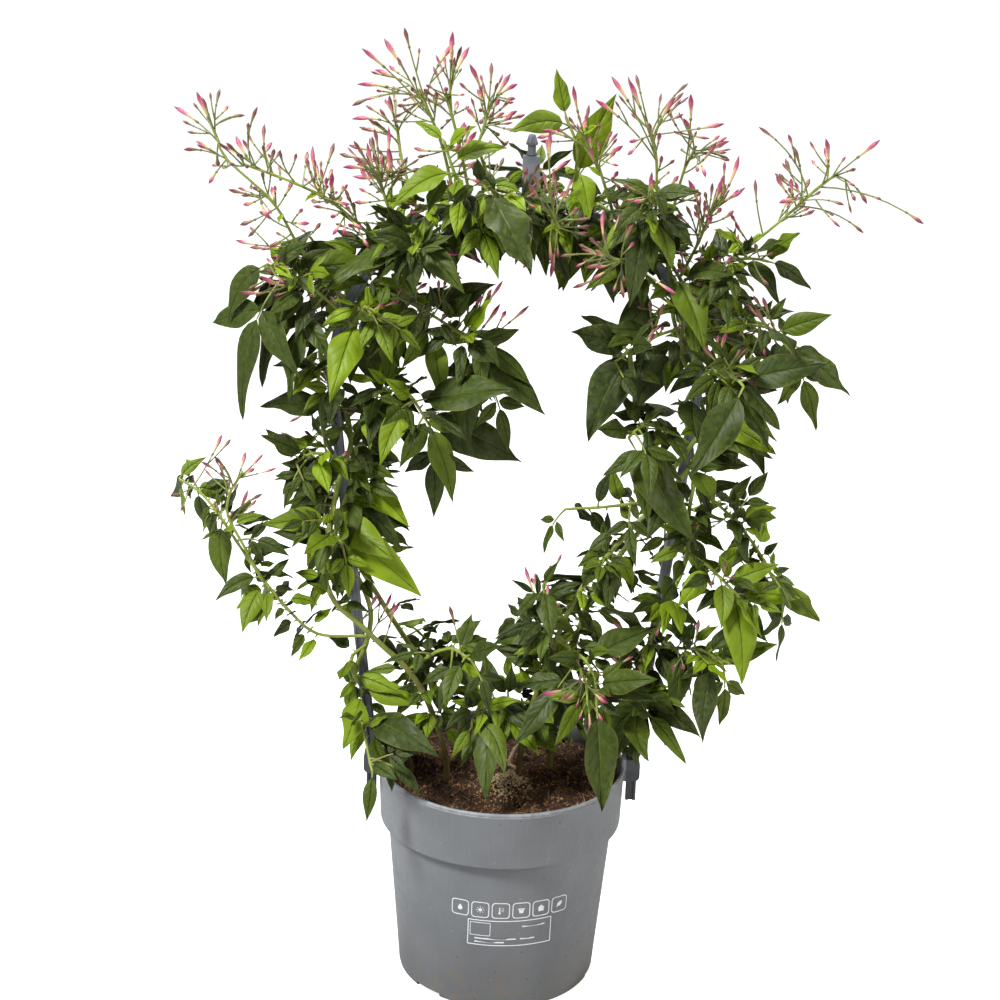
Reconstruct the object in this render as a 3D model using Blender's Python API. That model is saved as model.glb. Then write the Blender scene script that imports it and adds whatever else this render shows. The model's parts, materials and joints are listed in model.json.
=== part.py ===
"""Pink jasmine in bud, trained round a hoop that is clipped to its nursery pot.

The frame is metres, +Z up, with the origin at the middle of the pot's foot. The hoop stands in the
X-Z plane and the plant is seen from -Y. Lengths below are written in millimetres, as on a drawing,
and the last step of every piece turns them into metres.
"""
import math
import random

import bmesh
import bpy
from mathutils import Vector, noise
from mathutils.bvhtree import BVHTree

MM = 0.001
CLEAR = 0.3

POT_HEIGHT = 155.0
RIM_RADIUS = 85.0
COLLAR_HEIGHT = 40.0
COLLAR_FOOT_RADIUS = 83.4
BODY_TOP_RADIUS = 78.0
FOOT_RADIUS = 68.4
WALL = 1.8
FLOOR = 5.0
FOOT_DISC_RADIUS = 20.0
CHANNEL_HEIGHT = 3.0
DRAIN_COUNT = 6
DRAIN_RADIUS = 5.0
DRAIN_RING = 44.0
SLOT_COUNT = 6
SLOT_WIDTH = 22.0
POT_SIDES = 32
LIP_WIDTH = 2.4

DRAIN_TURN = 0.3
SLOT_AZIMUTH = -73.0
OVERCUT = 5.0

EAR_LENGTH = 16.0
EAR_WIDTH = 12.0
EAR_RISE = 5.0
EAR_LAP = 0.4
EAR_WALL = 1.5
# The ear's rounded outer corners, as distances in from its outer face and from its end.
EAR_ROUND = ((0.0, 4.0), (1.1, 1.3), (3.6, 0.0))

SOIL_TOP = 143.0
SOIL_SIDES = POT_SIDES // 2
SOIL_RINGS = 4
# The raised clod: where it is, how high and how wide.
CLOD_AT = (4.0, -19.0)
CLOD_HEIGHT = 9.0
CLOD_SPREAD = 12.0

STRIP_WIDTH = 7.0
STRIP_DEPTH = 4.5
GROOVE_WIDTH = 2.8
GROOVE_DEPTH = 1.0
TAIL_X = 90.0
TAIL_BOTTOM = 128.0
TAIL_TOP = 160.0
SHOULDER = (118.0, 412.0)
ARCH_BENDS = 8
HUB_X = 5.8
HUB_WIDTH = 11.0
HUB_DEPTH = 8.0
HUB_HEIGHT = 32.5
HUB_DROP = 4.3
SOCKET_DEPTH = 4.0
SOCKET_ROOM = 0.9
LEFT_LAP = 2.0
RIGHT_LAP = 3.4
PIN_RADIUS = 2.6
PIN_SUNK = 8.0
PIN_RISE = 13.4
PIN_HEAD_RADIUS = 3.8
PIN_HEAD_HEIGHT = 6.4
PIN_TIP_RADIUS = 2.0

VINE_RADIUS = 2.5
VINE_LANE_RADIUS = 9.2
VINE_PITCH = 110.0
VINE_STEP = 18.0
VINE_BEND = 22.0
VINE_LEAF_PITCH = 50.0
VINE_LEAF_REACH = 56.0
VINE_BARE_SHARE = 0.34
HOLE_DEPTH = 12.0
HOLE_RADIUS = 3.3

STEM_RADIUS = 1.4
AXIS_RADIUS = 1.2
STEM_STEP = 32.0
LEAF_COLLAR = 2.2
BUD_COLLAR = 1.6
BUD_SPACING = 2.6
PARTNER_STEP = 0.09
LONE_WIDTH = 0.45
# How often a piece of growth is tried, and how much further each try may stray.
STEM_TRIES = 60
STEM_STRAY = 0.5
LEAF_TRIES = 36
LEAF_STRAY = 1.2
LEAF_SHRINK = 0.012
BUD_TRIES = 30
BUD_STRAY = 0.9
LEAST_REACH = 16.0
PAIRED_REACH = 30.0
BACK_SHOOTS = 5
BACK_REACH = 62.0
SPREAD = 82.0
PETIOLE_RADIUS = 0.95
BLADE_THICKNESS = 1.4
BUD_RADIUS = 1.8
BUD_LENGTH = 19.0
STALK_RADIUS = 0.75

# Where a blade has its rings, as shares of its length, and how wide it is there.
LONG_BLADE = ((0.17, 0.74), (0.44, 1.0), (0.75, 0.42))
SHORT_BLADE = ((0.24, 0.95), (0.62, 0.72))
# A side leaflet's length as a share of its leaf's, by the leaf's pairs of leaflets.
SIDE_LEAFLET = {1: 0.46, 2: 0.36, 3: 0.3}

LEAF_GREEN = (0.045, 0.115, 0.03)
YOUNG_GREEN = (0.16, 0.30, 0.03)
VINE_GREEN = (0.14, 0.20, 0.06)
BUD_PINK = (0.56, 0.12, 0.22)
POT_GREY = (0.165, 0.19, 0.225)
HOOP_GREY = (0.12, 0.135, 0.155)
PEAT_BROWN = (0.05, 0.028, 0.016)

# The way through the hoop that the foliage leaves open, as boxes through the whole depth.
OPENINGS = (
    ((-36.0, -95.0, 300.5), (19.4, 95.0, 370.0)),
    ((21.0, -95.0, 347.0), (45.0, 95.0, 464.0)),
)

# A vine's hole in the soil, the points of its free stretch, then its lane on the hoop: the angle of
# its turn in degrees and where along the hoop's length it joins and ends.
VINES = {
    "vine_left_front": ((-38, -12), ((-46, -18, 190), (-62, -26, 227), (-96, -29, 262), (-121, -25, 292)),
                        156.0, 196.0, 650.0),
    "vine_left_back": ((-30, 14), ((-50, 16, 205), (-84, 20, 258), (-106, 19, 300)), 336.0, 190.0, 430.0),
    "vine_left_low": ((-64, -4), ((-76, -9, 168), (-91, -14, 186)), 216.0, 46.0, 330.0),
    "vine_right_front": ((12, -8), ((20, -14, 205), (44, -18, 280), (76, -18, 328)), 331.0, 708.0, 510.0),
    "vine_right_back": ((34, 12), ((44, 18, 220), (60, 20, 275), (88, 20, 318)), 29.0, 718.0, 420.0),
    "vine_right_outer": ((64, -6), ((84, -12, 215), (102, -18, 270), (117, -16, 312)), 225.0, 714.0, 642.0),
}

# Leafy shoots: a name, whether its leaves are young, the stem's route from the vine, and each leaf's
# tip with its pairs of side leaflets and its end leaflet's width as a share of its length.
SHOOTS = (
    ("shoulder_left_out", False,
     ((-107, -8, 463), (-130, -22, 488), (-157, -32, 504)),
     ((-143, -44, 419, 1, 0.4), (-161, -30, 423, 0, 0.38), (-172, -40, 402, 1, 0.3),
      (-183, -20, 459, 0, 0.42))),
    ("cascade_left", True,
     ((-105, -12, 452), (-95, -40, 481), (-84, -56, 478)),
     ((-115, -64, 424, 0, 0.44), (-76, -66, 451, 1, 0.4), (-59, -52, 456, 1, 0.34))),
    ("shoulder_left_top", False,
     ((-79, -8, 503), (-65, -30, 522), (-64, -48, 516)),
     ((-122, -44, 490, 0, 0.36), (-32, -56, 493, 0, 0.44), (-92, -30, 515, 1, 0.4))),
    ("top_left_front", True,
     ((-32, -8, 530), (-39, -32, 563), (-47, -42, 579)),
     ((-36, -46, 548, 0, 0.38), (-79, -50, 548, 0, 0.44), (-67, -30, 595, 1, 0.36))),
    ("top_mid_front", False,
     ((-5, -8, 536), (-18, -32, 556), (-27, -42, 560)),
     ((5, -52, 517, 1, 0.4), (-45, -48, 542, 1, 0.36))),
    ("inner_left", False,
     ((-76, -6, 475), (-39, -20, 463), (-21, -24, 441)),
     ((-47, -28, 417, 1, 0.4), (12, -26, 428, 1, 0.36), (-2, -26, 383, 2, 0.36))),
    ("leg_left_inner", False,
     ((-107, -6, 411), (-79, -22, 419), (-57, -26, 402)),
     ((-92, -44, 390, 1, 0.42), (-32, -24, 347, 1, 0.36), (-62, -34, 321, 1, 0.38))),
    ("leg_left_bright", True,
     ((-110, -12, 341), (-118, -34, 333), (-109, -44, 327)),
     ((-74, -56, 319, 0, 0.48), (-55, -44, 290, 0, 0.4), (-101, -50, 289, 1, 0.46))),
    ("leg_left_outer", False,
     ((-110, -6, 370), (-129, -18, 378), (-140, -22, 372)),
     ((-123, -24, 420, 1, 0.4), (-148, -26, 339, 2, 0.38), (-125, -34, 347, 1, 0.38))),
    ("long_branch_left", False,
     ((-94, -18, 242), (-125, -30, 257), (-161, -36, 298), (-197, -34, 348), (-216, -28, 361)),
     ((-157, -40, 274, 0, 0.4), (-194, -46, 285, 0, 0.38), (-142, -44, 315, 1, 0.46),
      (-196, -50, 335, 1, 0.42), (-179, -44, 372, 1, 0.4))),
    ("leg_left_low", True,
     ((-91, -6, 243), (-103, -24, 234), (-95, -30, 214)),
     ((-113, -28, 202, 0, 0.46), (-69, -40, 213, 0, 0.42), (-108, -36, 175, 0, 0.56))),
    ("rim_left", False,
     ((-87, -6, 206), (-94, -44, 195), (-85, -70, 176)),
     ((-40, -86, 195, 0, 0.34), (-88, -80, 144, 0, 0.36))),
    ("bottom_left", False,
     ((-57, -22, 236), (-43, -42, 251), (-28, -52, 247)),
     ((-81, -52, 245, 1, 0.34), (-44, -60, 213, 1, 0.36), (-9, -60, 214, 1, 0.38))),
    ("bottom_mid", False,
     ((-3, -6, 209), (-17, -34, 214), (-21, -50, 201)),
     ((-10, -72, 159, 0, 0.42), (-41, -60, 190, 1, 0.38))),
    ("bottom_mid_top", False,
     ((34, -14, 243), (27, -26, 279), (21, -30, 295)),
     ((-8, -40, 260, 1, 0.36), (-10, -32, 309, 1, 0.26), (33, -30, 313, 1, 0.34))),
    ("bottom_right_front", False,
     ((53, -18, 246), (57, -48, 245), (60, -68, 227)),
     ((7, -66, 195, 1, 0.36), (29, -66, 200, 1, 0.38), (65, -96, 165, 0, 0.44))),
    ("bottom_right_out", False,
     ((98, -8, 214), (91, -34, 218), (94, -44, 214)),
     ((75, -44, 244, 1, 0.4), (122, -54, 181, 0, 0.32))),
    ("low_right_out", False,
     ((100, -10, 246), (129, -26, 252), (144, -32, 245)),
     ((110, -38, 204, 0, 0.44), (126, -44, 219, 1, 0.42), (143, -40, 203, 1, 0.44))),
    ("mid_right_out", True,
     ((106, -10, 312), (129, -30, 313), (154, -30, 285)),
     ((110, -46, 289, 0, 0.48), (132, -40, 267, 0, 0.48), (155, -36, 247, 0, 0.44),
      (152, -34, 309, 1, 0.4))),
    ("far_right", False,
     ((118, -6, 366), (159, -18, 327), (182, -20, 288)),
     ((149, -34, 355, 1, 0.4), (158, -14, 312, 1, 0.42), (204, -24, 252, 0, 0.26),
      (181, -20, 242, 1, 0.3))),
    ("right_inner_low", False,
     ((105, -8, 350), (70, -16, 347), (36, -16, 341)),
     ((81, -26, 309, 1, 0.36), (65, -20, 373, 1, 0.36), (23, -18, 309, 1, 0.34))),
    ("right_inner_mid", False,
     ((112, -6, 391), (88, -26, 404), (78, -34, 393)),
     ((63, -30, 400, 1, 0.4), (89, -44, 344, 1, 0.38), (116, -46, 332, 0, 0.42))),
    ("right_inner_top", False,
     ((106, -8, 465), (78, -26, 458), (64, -30, 447)),
     ((55, -26, 468, 0, 0.46), (48, -36, 396, 0, 0.46), (86, -40, 419, 1, 0.46))),
    ("right_big", False,
     ((119, -12, 433), (134, -38, 446), (143, -50, 440)),
     ((163, -46, 397, 1, 0.4), (111, -66, 384, 0, 0.42))),
    ("shoulder_right_out", False,
     ((127, -8, 472), (158, -20, 472), (174, -24, 457)),
     ((151, -36, 425, 1, 0.4), (176, -22, 422, 1, 0.42), (194, -28, 406, 1, 0.4))),
    ("shoulder_right_top", False,
     ((115, -8, 503), (140, -20, 515), (156, -22, 514)),
     ((131, -46, 475, 1, 0.4), (194, -24, 510, 0, 0.36), (186, -16, 495, 0, 0.38))),
    ("top_right", False,
     ((76, -8, 527), (81, -28, 549), (81, -34, 559)),
     ((59, -40, 476, 0, 0.4), (56, -44, 522, 1, 0.4), (110, -40, 559, 0, 0.42), (105, -48, 517, 1, 0.38))),
    ("top_young", True,
     ((28, -6, 543), (34, -18, 579), (26, -20, 599)),
     ((44, -24, 600, 0, 0.44), (8, -24, 606, 0, 0.44), (19, -22, 628, 0, 0.44))),
)

# Sprays of buds: a name, the axis's route from the vine, and the buds' tips.
SPRAYS = (
    ("far_left_low",
     ((-110, -6, 477), (-137, -24, 512), (-148, -28, 538), (-175, -30, 557), (-193, -26, 591)),
     ((-207, -40, 575), (-216, -18, 598), (-200, -30, 609), (-188, -12, 609), (-180, -36, 599),
      (-161, -22, 561), (-169, -14, 512), (-170, -34, 550))),
    ("far_left_high",
     ((-87, -10, 519), (-120, -26, 545), (-143, -30, 556), (-174, -32, 567)),
     ((-180, -46, 581), (-177, -24, 582), (-162, -36, 602), (-160, -18, 589), (-148, -42, 577),
      (-133, -28, 571), (-130, -20, 577), (-116, -40, 564))),
    ("left_upright",
     ((-74, -12, 518), (-84, -24, 545), (-89, -28, 564)),
     ((-103, -42, 584), (-97, -20, 574), (-88, -32, 574), (-79, -14, 574), (-110, -38, 567),
      (-73, -24, 564))),
    ("crown_left",
     ((-43, -14, 545), (-51, -22, 583), (-65, -24, 614)),
     ((-99, -38, 639), (-87, -16, 643), (-74, -28, 651), (-68, -10, 642), (-102, -34, 617),
      (-106, -20, 602), (-91, -12, 626))),
    ("crown_mid",
     ((-29, -10, 541), (-44, -16, 589), (-48, -14, 612)),
     ((-51, -28, 644), (-57, -6, 626), (-40, -18, 641), (-35, 0, 638), (-48, -24, 615), (-62, -10, 607))),
    ("crown_right",
     ((-19, -8, 540), (-27, -14, 577), (-20, -18, 608)),
     ((-34, -32, 631), (-21, -10, 630), (-9, -22, 625), (-1, -4, 620), (2, -28, 611), (-36, -14, 603),
      (-12, -6, 599))),
    ("crown_back",
     ((-58, 8, 531), (-73, 20, 564), (-81, 26, 588)),
     ((-96, 12, 589), (-104, 34, 580), (-86, 22, 603), (-79, 40, 609), (-66, 16, 602), (-110, 30, 587))),
    ("hub_front",
     ((17, -12, 536), (25, -34, 531), (19, -44, 545)),
     ((4, -58, 564), (11, -36, 568), (8, -48, 555), (30, -30, 557), (16, -54, 596))),
    ("top_right_low",
     ((57, -10, 533), (51, -22, 564), (35, -24, 586)),
     ((29, -38, 621), (40, -16, 607), (46, -28, 608), (38, -10, 588), (10, -34, 593), (55, -20, 592))),
    ("top_right_high",
     ((90, -10, 526), (84, -18, 568), (78, -18, 593)),
     ((43, -32, 612), (53, -10, 624), (64, -22, 623), (70, -4, 625), (92, -28, 615), (98, -14, 616),
      (111, -6, 613))),
    ("top_right_out",
     ((99, -8, 523), (99, -10, 561), (108, -10, 583)),
     ((111, -24, 614), (131, -2, 594), (128, -14, 587), (131, 4, 575), (98, -20, 601))),
    ("shoulder_right",
     ((116, -8, 509), (115, -20, 533), (121, -22, 548)),
     ((102, -36, 566), (119, -14, 561), (125, -26, 565), (131, -8, 560), (136, -32, 559), (103, -18, 547))),
    ("far_right",
     ((140, -6, 492), (158, -16, 534), (182, -20, 559), (196, -20, 571)),
     ((221, -34, 593), (231, -12, 565), (193, -24, 602), (188, -6, 584), (202, -30, 577),
      (216, -16, 551), (217, -8, 531), (200, -28, 552), (159, -34, 600), (168, -12, 585))),
    ("arch_front_right",
     ((76, -12, 517), (64, -40, 514), (49, -46, 525)),
     ((42, -60, 533), (56, -38, 549), (69, -50, 540), (82, -32, 528), (42, -56, 513), (25, -42, 517))),
    ("branch_left",
     ((-169, -38, 292), (-182, -50, 354), (-175, -52, 375)),
     ((-187, -66, 388), (-170, -44, 385), (-161, -56, 377), (-160, -38, 355), (-196, -62, 383))),
    ("bottom_right",
     ((63, -22, 248), (53, -60, 239), (54, -70, 228)),
     ((23, -84, 241), (39, -62, 228), (67, -74, 232), (88, -56, 240), (54, -80, 214), (53, -66, 253))),
)


def clear_scene():
    for old in list(bpy.data.objects):
        bpy.data.objects.remove(old, do_unlink=True)


def make_material(name, colour, roughness):
    material = bpy.data.materials.new(name)
    material.use_nodes = True
    shader = material.node_tree.nodes["Principled BSDF"]
    shader.inputs["Base Color"].default_value = (*colour, 1.0)
    shader.inputs["Roughness"].default_value = roughness
    shader.inputs["Metallic"].default_value = 0.0
    return material


def add_piece(name, verts, faces, material, smooth=None):
    """One closed piece from points in millimetres."""
    mesh = bpy.data.meshes.new(name)
    mesh.from_pydata([tuple(Vector(v) * MM) for v in verts], [], faces)
    shape = bmesh.new()
    shape.from_mesh(mesh)
    bmesh.ops.recalc_face_normals(shape, faces=shape.faces)
    shape.to_mesh(mesh)
    shape.free()
    mesh.materials.append(material)
    if smooth is not None:
        mesh.shade_smooth()
        mesh.set_sharp_from_angle(angle=math.radians(smooth))
    piece = bpy.data.objects.new(name, mesh)
    bpy.context.scene.collection.objects.link(piece)
    return piece


def turned(profile, sides):
    """Points and faces of a closed profile (radius, height) turned round the Z axis."""
    verts = []
    rings = []
    for radius, height in profile:
        if radius < 1e-6:
            rings.append([len(verts)] * sides)
            verts.append((0.0, 0.0, height))
            continue
        rings.append(list(range(len(verts), len(verts) + sides)))
        for k in range(sides):
            turn = 2.0 * math.pi * k / sides
            verts.append((radius * math.cos(turn), radius * math.sin(turn), height))
    faces = []
    for low, high in zip(rings, rings[1:]):
        for k in range(sides):
            n = (k + 1) % sides
            corners = (low[k], low[n], high[n], high[k])
            faces.append(tuple(dict.fromkeys(corners)))
    return verts, faces


def box(low, high):
    """Points and faces of a box."""
    verts = [(x, y, z) for z in (low[2], high[2]) for y in (low[1], high[1]) for x in (low[0], high[0])]
    faces = [(0, 2, 3, 1), (4, 5, 7, 6), (0, 1, 5, 4), (2, 6, 7, 3), (0, 4, 6, 2), (1, 3, 7, 5)]
    return verts, faces


def prism(outline, width):
    """Points and faces of an outline in the X-Z plane, thickened evenly to both sides."""
    count = len(outline)
    verts = [(x, y, z) for y in (-width / 2, width / 2) for x, z in outline]
    faces = [tuple(range(count)), tuple(range(count, 2 * count))]
    for k in range(count):
        n = (k + 1) % count
        faces.append((k, n, n + count, k + count))
    return verts, faces


def drum(centre, radius, low, high, sides=12):
    """Points and faces of an upright cylinder."""
    profile = [(0.0, low), (radius, low), (radius, high), (0.0, high)]
    verts, faces = turned(profile, sides)
    return [(x + centre[0], y + centre[1], z) for x, y, z in verts], faces


def as_tool(verts, faces):
    """A cutter or joiner, hidden from the render."""
    tool = add_piece("tool", verts, faces, bpy.data.materials[0])
    tool.hide_render = True
    tool.display_type = "WIRE"
    return tool


def combine(piece, tools, operation):
    """Apply one Boolean with a collection of tools, then remove them."""
    group = bpy.data.collections.new("tools")
    bpy.context.scene.collection.children.link(group)
    for tool in tools:
        bpy.context.scene.collection.objects.unlink(tool)
        group.objects.link(tool)
    cut = piece.modifiers.new("combine", "BOOLEAN")
    cut.operation = operation
    cut.operand_type = "COLLECTION"
    cut.collection = group
    bpy.context.view_layer.update()
    result = bpy.data.meshes.new_from_object(piece.evaluated_get(bpy.context.evaluated_depsgraph_get()))
    piece.modifiers.clear()
    piece.data = result
    for tool in tools:
        bpy.data.objects.remove(tool, do_unlink=True)
    bpy.data.collections.remove(group)


def pot_profile():
    """The turned outline, from the middle of the foot outward, up, over the rim and down inside."""
    collar_foot = POT_HEIGHT - COLLAR_HEIGHT
    return [
        (0.0, 0.0), (FOOT_DISC_RADIUS, 0.0), (FOOT_DISC_RADIUS + 3.0, CHANNEL_HEIGHT),
        (FOOT_RADIUS - 9.0, CHANNEL_HEIGHT), (FOOT_RADIUS - 7.0, 0.0), (FOOT_RADIUS - 1.2, 0.0),
        (FOOT_RADIUS, 1.6), (BODY_TOP_RADIUS, collar_foot), (COLLAR_FOOT_RADIUS, collar_foot - 0.6),
        (RIM_RADIUS, POT_HEIGHT - 1.0), (RIM_RADIUS - 0.8, POT_HEIGHT), (RIM_RADIUS - LIP_WIDTH, POT_HEIGHT),
        (COLLAR_FOOT_RADIUS - WALL - 0.3, collar_foot + 4.0), (BODY_TOP_RADIUS - WALL, collar_foot + 1.9),
        (FOOT_RADIUS - WALL, FLOOR), (0.0, FLOOR),
    ]


def ear(side):
    """The loop on the collar that the hoop's tail drops through: a block and the slot in it."""
    inner = COLLAR_FOOT_RADIUS - EAR_LAP
    outer = TAIL_X + STRIP_WIDTH / 2 + CLEAR + EAR_WALL
    top = POT_HEIGHT + EAR_RISE
    low = top - EAR_LENGTH
    outline = [(side * inner, low)] + [(side * (outer - a), low + b) for a, b in EAR_ROUND[::-1]]
    outline += [(side * (outer - a), top - b) for a, b in EAR_ROUND] + [(side * inner, top)]
    half = STRIP_WIDTH / 2 + CLEAR
    depth = STRIP_DEPTH / 2 + CLEAR
    slot = box((side * TAIL_X - half, -depth, low - OVERCUT), (side * TAIL_X + half, depth, top + OVERCUT))
    return prism(outline, EAR_WIDTH), slot


def build_pot():
    plastic = make_material("pot_plastic", POT_GREY, 0.55)
    pot = add_piece("pot", *turned(pot_profile(), POT_SIDES), plastic, smooth=30)
    loops = [ear(-1), ear(1)]
    combine(pot, [as_tool(*block) for block, slot in loops], "UNION")
    cutters = [as_tool(*slot) for block, slot in loops]
    for k in range(DRAIN_COUNT):
        turn = 2.0 * math.pi * (k + DRAIN_TURN) / DRAIN_COUNT
        centre = (DRAIN_RING * math.cos(turn), DRAIN_RING * math.sin(turn))
        cutters.append(as_tool(*drum(centre, DRAIN_RADIUS, -OVERCUT, FLOOR + OVERCUT, 8)))
    for k in range(SLOT_COUNT):
        verts, faces = box((FOOT_RADIUS - 12.0, -SLOT_WIDTH / 2, -OVERCUT),
                           (FOOT_RADIUS + OVERCUT, SLOT_WIDTH / 2, CHANNEL_HEIGHT + 0.4))
        turn = math.radians(SLOT_AZIMUTH) + 2.0 * math.pi * k / SLOT_COUNT
        verts = [(x * math.cos(turn) - y * math.sin(turn), x * math.sin(turn) + y * math.cos(turn), z)
                 for x, y, z in verts]
        cutters.append(as_tool(verts, faces))
    combine(pot, cutters, "DIFFERENCE")
    pot.data.shade_smooth()
    pot.data.set_sharp_from_angle(angle=math.radians(30))
    return pot


def soil_height(x, y):
    """Lumpy peat, with one raised pale clod at the front."""
    bumps = noise.noise(Vector((x / 17.0, y / 17.0, 3.1))) * 3.2
    away = math.hypot(x - CLOD_AT[0], y - CLOD_AT[1]) / CLOD_SPREAD
    return SOIL_TOP + bumps + CLOD_HEIGHT * math.exp(-away * away)


def inner_radius(height):
    """The pot's inner radius at a height."""
    collar_foot = POT_HEIGHT - COLLAR_HEIGHT
    low = (FLOOR, FOOT_RADIUS - WALL)
    high = (collar_foot + 1.9, BODY_TOP_RADIUS - WALL)
    return low[1] + (high[1] - low[1]) * (height - low[0]) / (high[0] - low[0])


def build_soil():
    peat = make_material("peat", PEAT_BROWN, 0.95)
    floor = FLOOR + CLEAR
    collar_foot = POT_HEIGHT - COLLAR_HEIGHT
    top_radius = COLLAR_FOOT_RADIUS - WALL - 0.3 - 2.0 * CLEAR
    outline = [(inner_radius(floor) - CLEAR, floor),
               (BODY_TOP_RADIUS - WALL - 2.0 * CLEAR, collar_foot + 2.5), (top_radius, collar_foot + 5.2)]
    verts = [(0.0, 0.0, floor)]
    rings = []
    for radius, height in outline:
        rings.append(len(verts))
        for k in range(SOIL_SIDES):
            turn = 2.0 * math.pi * k / SOIL_SIDES
            verts.append((radius * math.cos(turn), radius * math.sin(turn), height))
    for ring in range(SOIL_RINGS, 0, -1):
        rings.append(len(verts))
        radius = top_radius * ring / SOIL_RINGS
        for k in range(SOIL_SIDES):
            turn = 2.0 * math.pi * k / SOIL_SIDES
            x, y = radius * math.cos(turn), radius * math.sin(turn)
            verts.append((x, y, soil_height(x, y)))
    verts.append((0.0, 0.0, soil_height(0.0, 0.0)))
    faces = []
    for k in range(SOIL_SIDES):
        n = (k + 1) % SOIL_SIDES
        faces.append((0, rings[0] + n, rings[0] + k))
        faces.append((len(verts) - 1, rings[-1] + k, rings[-1] + n))
        for low, high in zip(rings, rings[1:]):
            faces.append((low + k, low + n, high + n))
            faces.append((low + k, high + n, high + k))
    soil = add_piece("soil", verts, faces, peat)
    holes = [hole for hole, route, lane, join, end in VINES.values()]
    low = SOIL_TOP - HOLE_DEPTH
    cutters = [as_tool(*drum(hole, HOLE_RADIUS, low, POT_HEIGHT, 8)) for hole in holes]
    combine(soil, cutters, "DIFFERENCE")
    return soil


def hoop_lean():
    return math.atan((SHOULDER[0] - TAIL_X) / (SHOULDER[1] - TAIL_TOP))


def leg_length():
    return math.hypot(SHOULDER[0] - TAIL_X, SHOULDER[1] - TAIL_TOP)


def hoop_length():
    """Along the hoop from one ear over the arch to the other."""
    radius = SHOULDER[0] / math.cos(hoop_lean())
    return 2.0 * leg_length() + radius * (math.pi + 2.0 * hoop_lean())


def hoop_point(along):
    """The middle of the strip and its outward direction, that far along from the left ear."""
    mirror = 1.0
    if along > hoop_length() / 2:
        along = hoop_length() - along
        mirror = -1.0
    lean = hoop_lean()
    if along < leg_length():
        share = along / leg_length()
        x = -(TAIL_X + share * (SHOULDER[0] - TAIL_X))
        z = TAIL_TOP + share * (SHOULDER[1] - TAIL_TOP)
        outward = Vector((-math.cos(lean), 0.0, -math.sin(lean)))
    else:
        radius = SHOULDER[0] / math.cos(lean)
        centre = SHOULDER[1] + radius * math.sin(lean)
        turn = math.pi + lean - (along - leg_length()) / radius
        outward = Vector((math.cos(turn), 0.0, math.sin(turn)))
        x = radius * outward.x
        z = centre + radius * outward.z
    outward.x *= mirror
    return Vector((x * mirror, 0.0, z)), outward


def strip_section():
    """Half width and depth pairs round the grooved strip."""
    w = STRIP_WIDTH / 2
    d = STRIP_DEPTH / 2
    g = GROOVE_WIDTH / 2
    b = d - GROOVE_DEPTH
    return [(-w, -d), (-g, -d), (-g, -b), (g, -b), (g, -d), (w, -d),
            (w, d), (g, d), (g, b), (-g, b), (-g, d), (-w, d)]


def swept_strip(stations):
    """The grooved strip along (middle, outward) stations."""
    section = strip_section()
    count = len(section)
    verts = []
    for middle, outward in stations:
        for across, depth in section:
            verts.append(tuple(middle + outward * across + Vector((0.0, depth, 0.0))))
    faces = [tuple(range(count)), tuple(range(len(verts) - 1, len(verts) - 1 - count, -1))]
    for k in range(len(stations) - 1):
        for j in range(count):
            n = (j + 1) % count
            faces.append((k * count + j, k * count + n, (k + 1) * count + n, (k + 1) * count + j))
    return verts, faces


def half_stations(side, stop):
    """Stations from the tail below the ear to a distance short of the hub's middle."""
    half = hoop_length() / 2 - stop
    marks = [leg_length() * share for share in (0.33, 0.66, 1.0)]
    marks += [leg_length() + (half - leg_length()) * (k + 1) / ARCH_BENDS for k in range(ARCH_BENDS)]
    stations = [(Vector((-TAIL_X, 0.0, TAIL_BOTTOM)), Vector((-1.0, 0.0, 0.0))),
                (Vector((-TAIL_X, 0.0, TAIL_TOP + 3.0)), Vector((-1.0, 0.0, 0.0)))]
    stations += [hoop_point(mark) for mark in marks]
    if side > 0:
        stations = [(Vector((-p.x, p.y, p.z)), Vector((-o.x, o.y, o.z))) for p, o in stations]
    return stations


def build_hoop():
    """Two strips that meet in a hub at the crown, with a snap pin standing in the hub."""
    plastic = make_material("hoop_plastic", HOOP_GREY, 0.45)
    crown = hoop_point(hoop_length() / 2)[0].z
    low = crown - HUB_DROP
    high = low + HUB_HEIGHT
    start = HUB_X - HUB_WIDTH / 2
    end = HUB_X + HUB_WIDTH / 2
    depth = HUB_DEPTH / 2
    left = add_piece("hoop_left", *swept_strip(half_stations(-1, -start - LEFT_LAP)), plastic, smooth=30)
    block = as_tool(*box((start, -depth, low), (end, depth, high)))
    combine(left, [block], "UNION")
    half = STRIP_WIDTH / 2 + SOCKET_ROOM
    socket = box((end - SOCKET_DEPTH, -STRIP_DEPTH / 2 - CLEAR, crown - half),
                 (end + OVERCUT, STRIP_DEPTH / 2 + CLEAR, crown + half))
    bore = drum((HUB_X, 0.0), PIN_RADIUS + CLEAR, high - PIN_SUNK, high + OVERCUT)
    combine(left, [as_tool(*socket), as_tool(*bore)], "DIFFERENCE")
    right = add_piece("hoop_right", *swept_strip(half_stations(1, end - RIGHT_LAP)), plastic, smooth=30)
    return [left, right, build_pin(high, plastic)]


def build_pin(seat_height, plastic):
    """The pin and its pointed head, standing in the hub."""
    foot = seat_height - PIN_SUNK + CLEAR
    top = seat_height + PIN_RISE
    head = top - PIN_HEAD_HEIGHT
    profile = [(0.0, foot), (PIN_RADIUS, foot), (PIN_RADIUS, head), (PIN_HEAD_RADIUS, head),
               (PIN_HEAD_RADIUS, head + 1.4), (PIN_TIP_RADIUS, top), (0.0, top)]
    verts, faces = turned(profile, 12)
    verts = [(x + HUB_X, y, z) for x, y, z in verts]
    return add_piece("hoop_pin", verts, faces, plastic, smooth=30)


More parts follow.
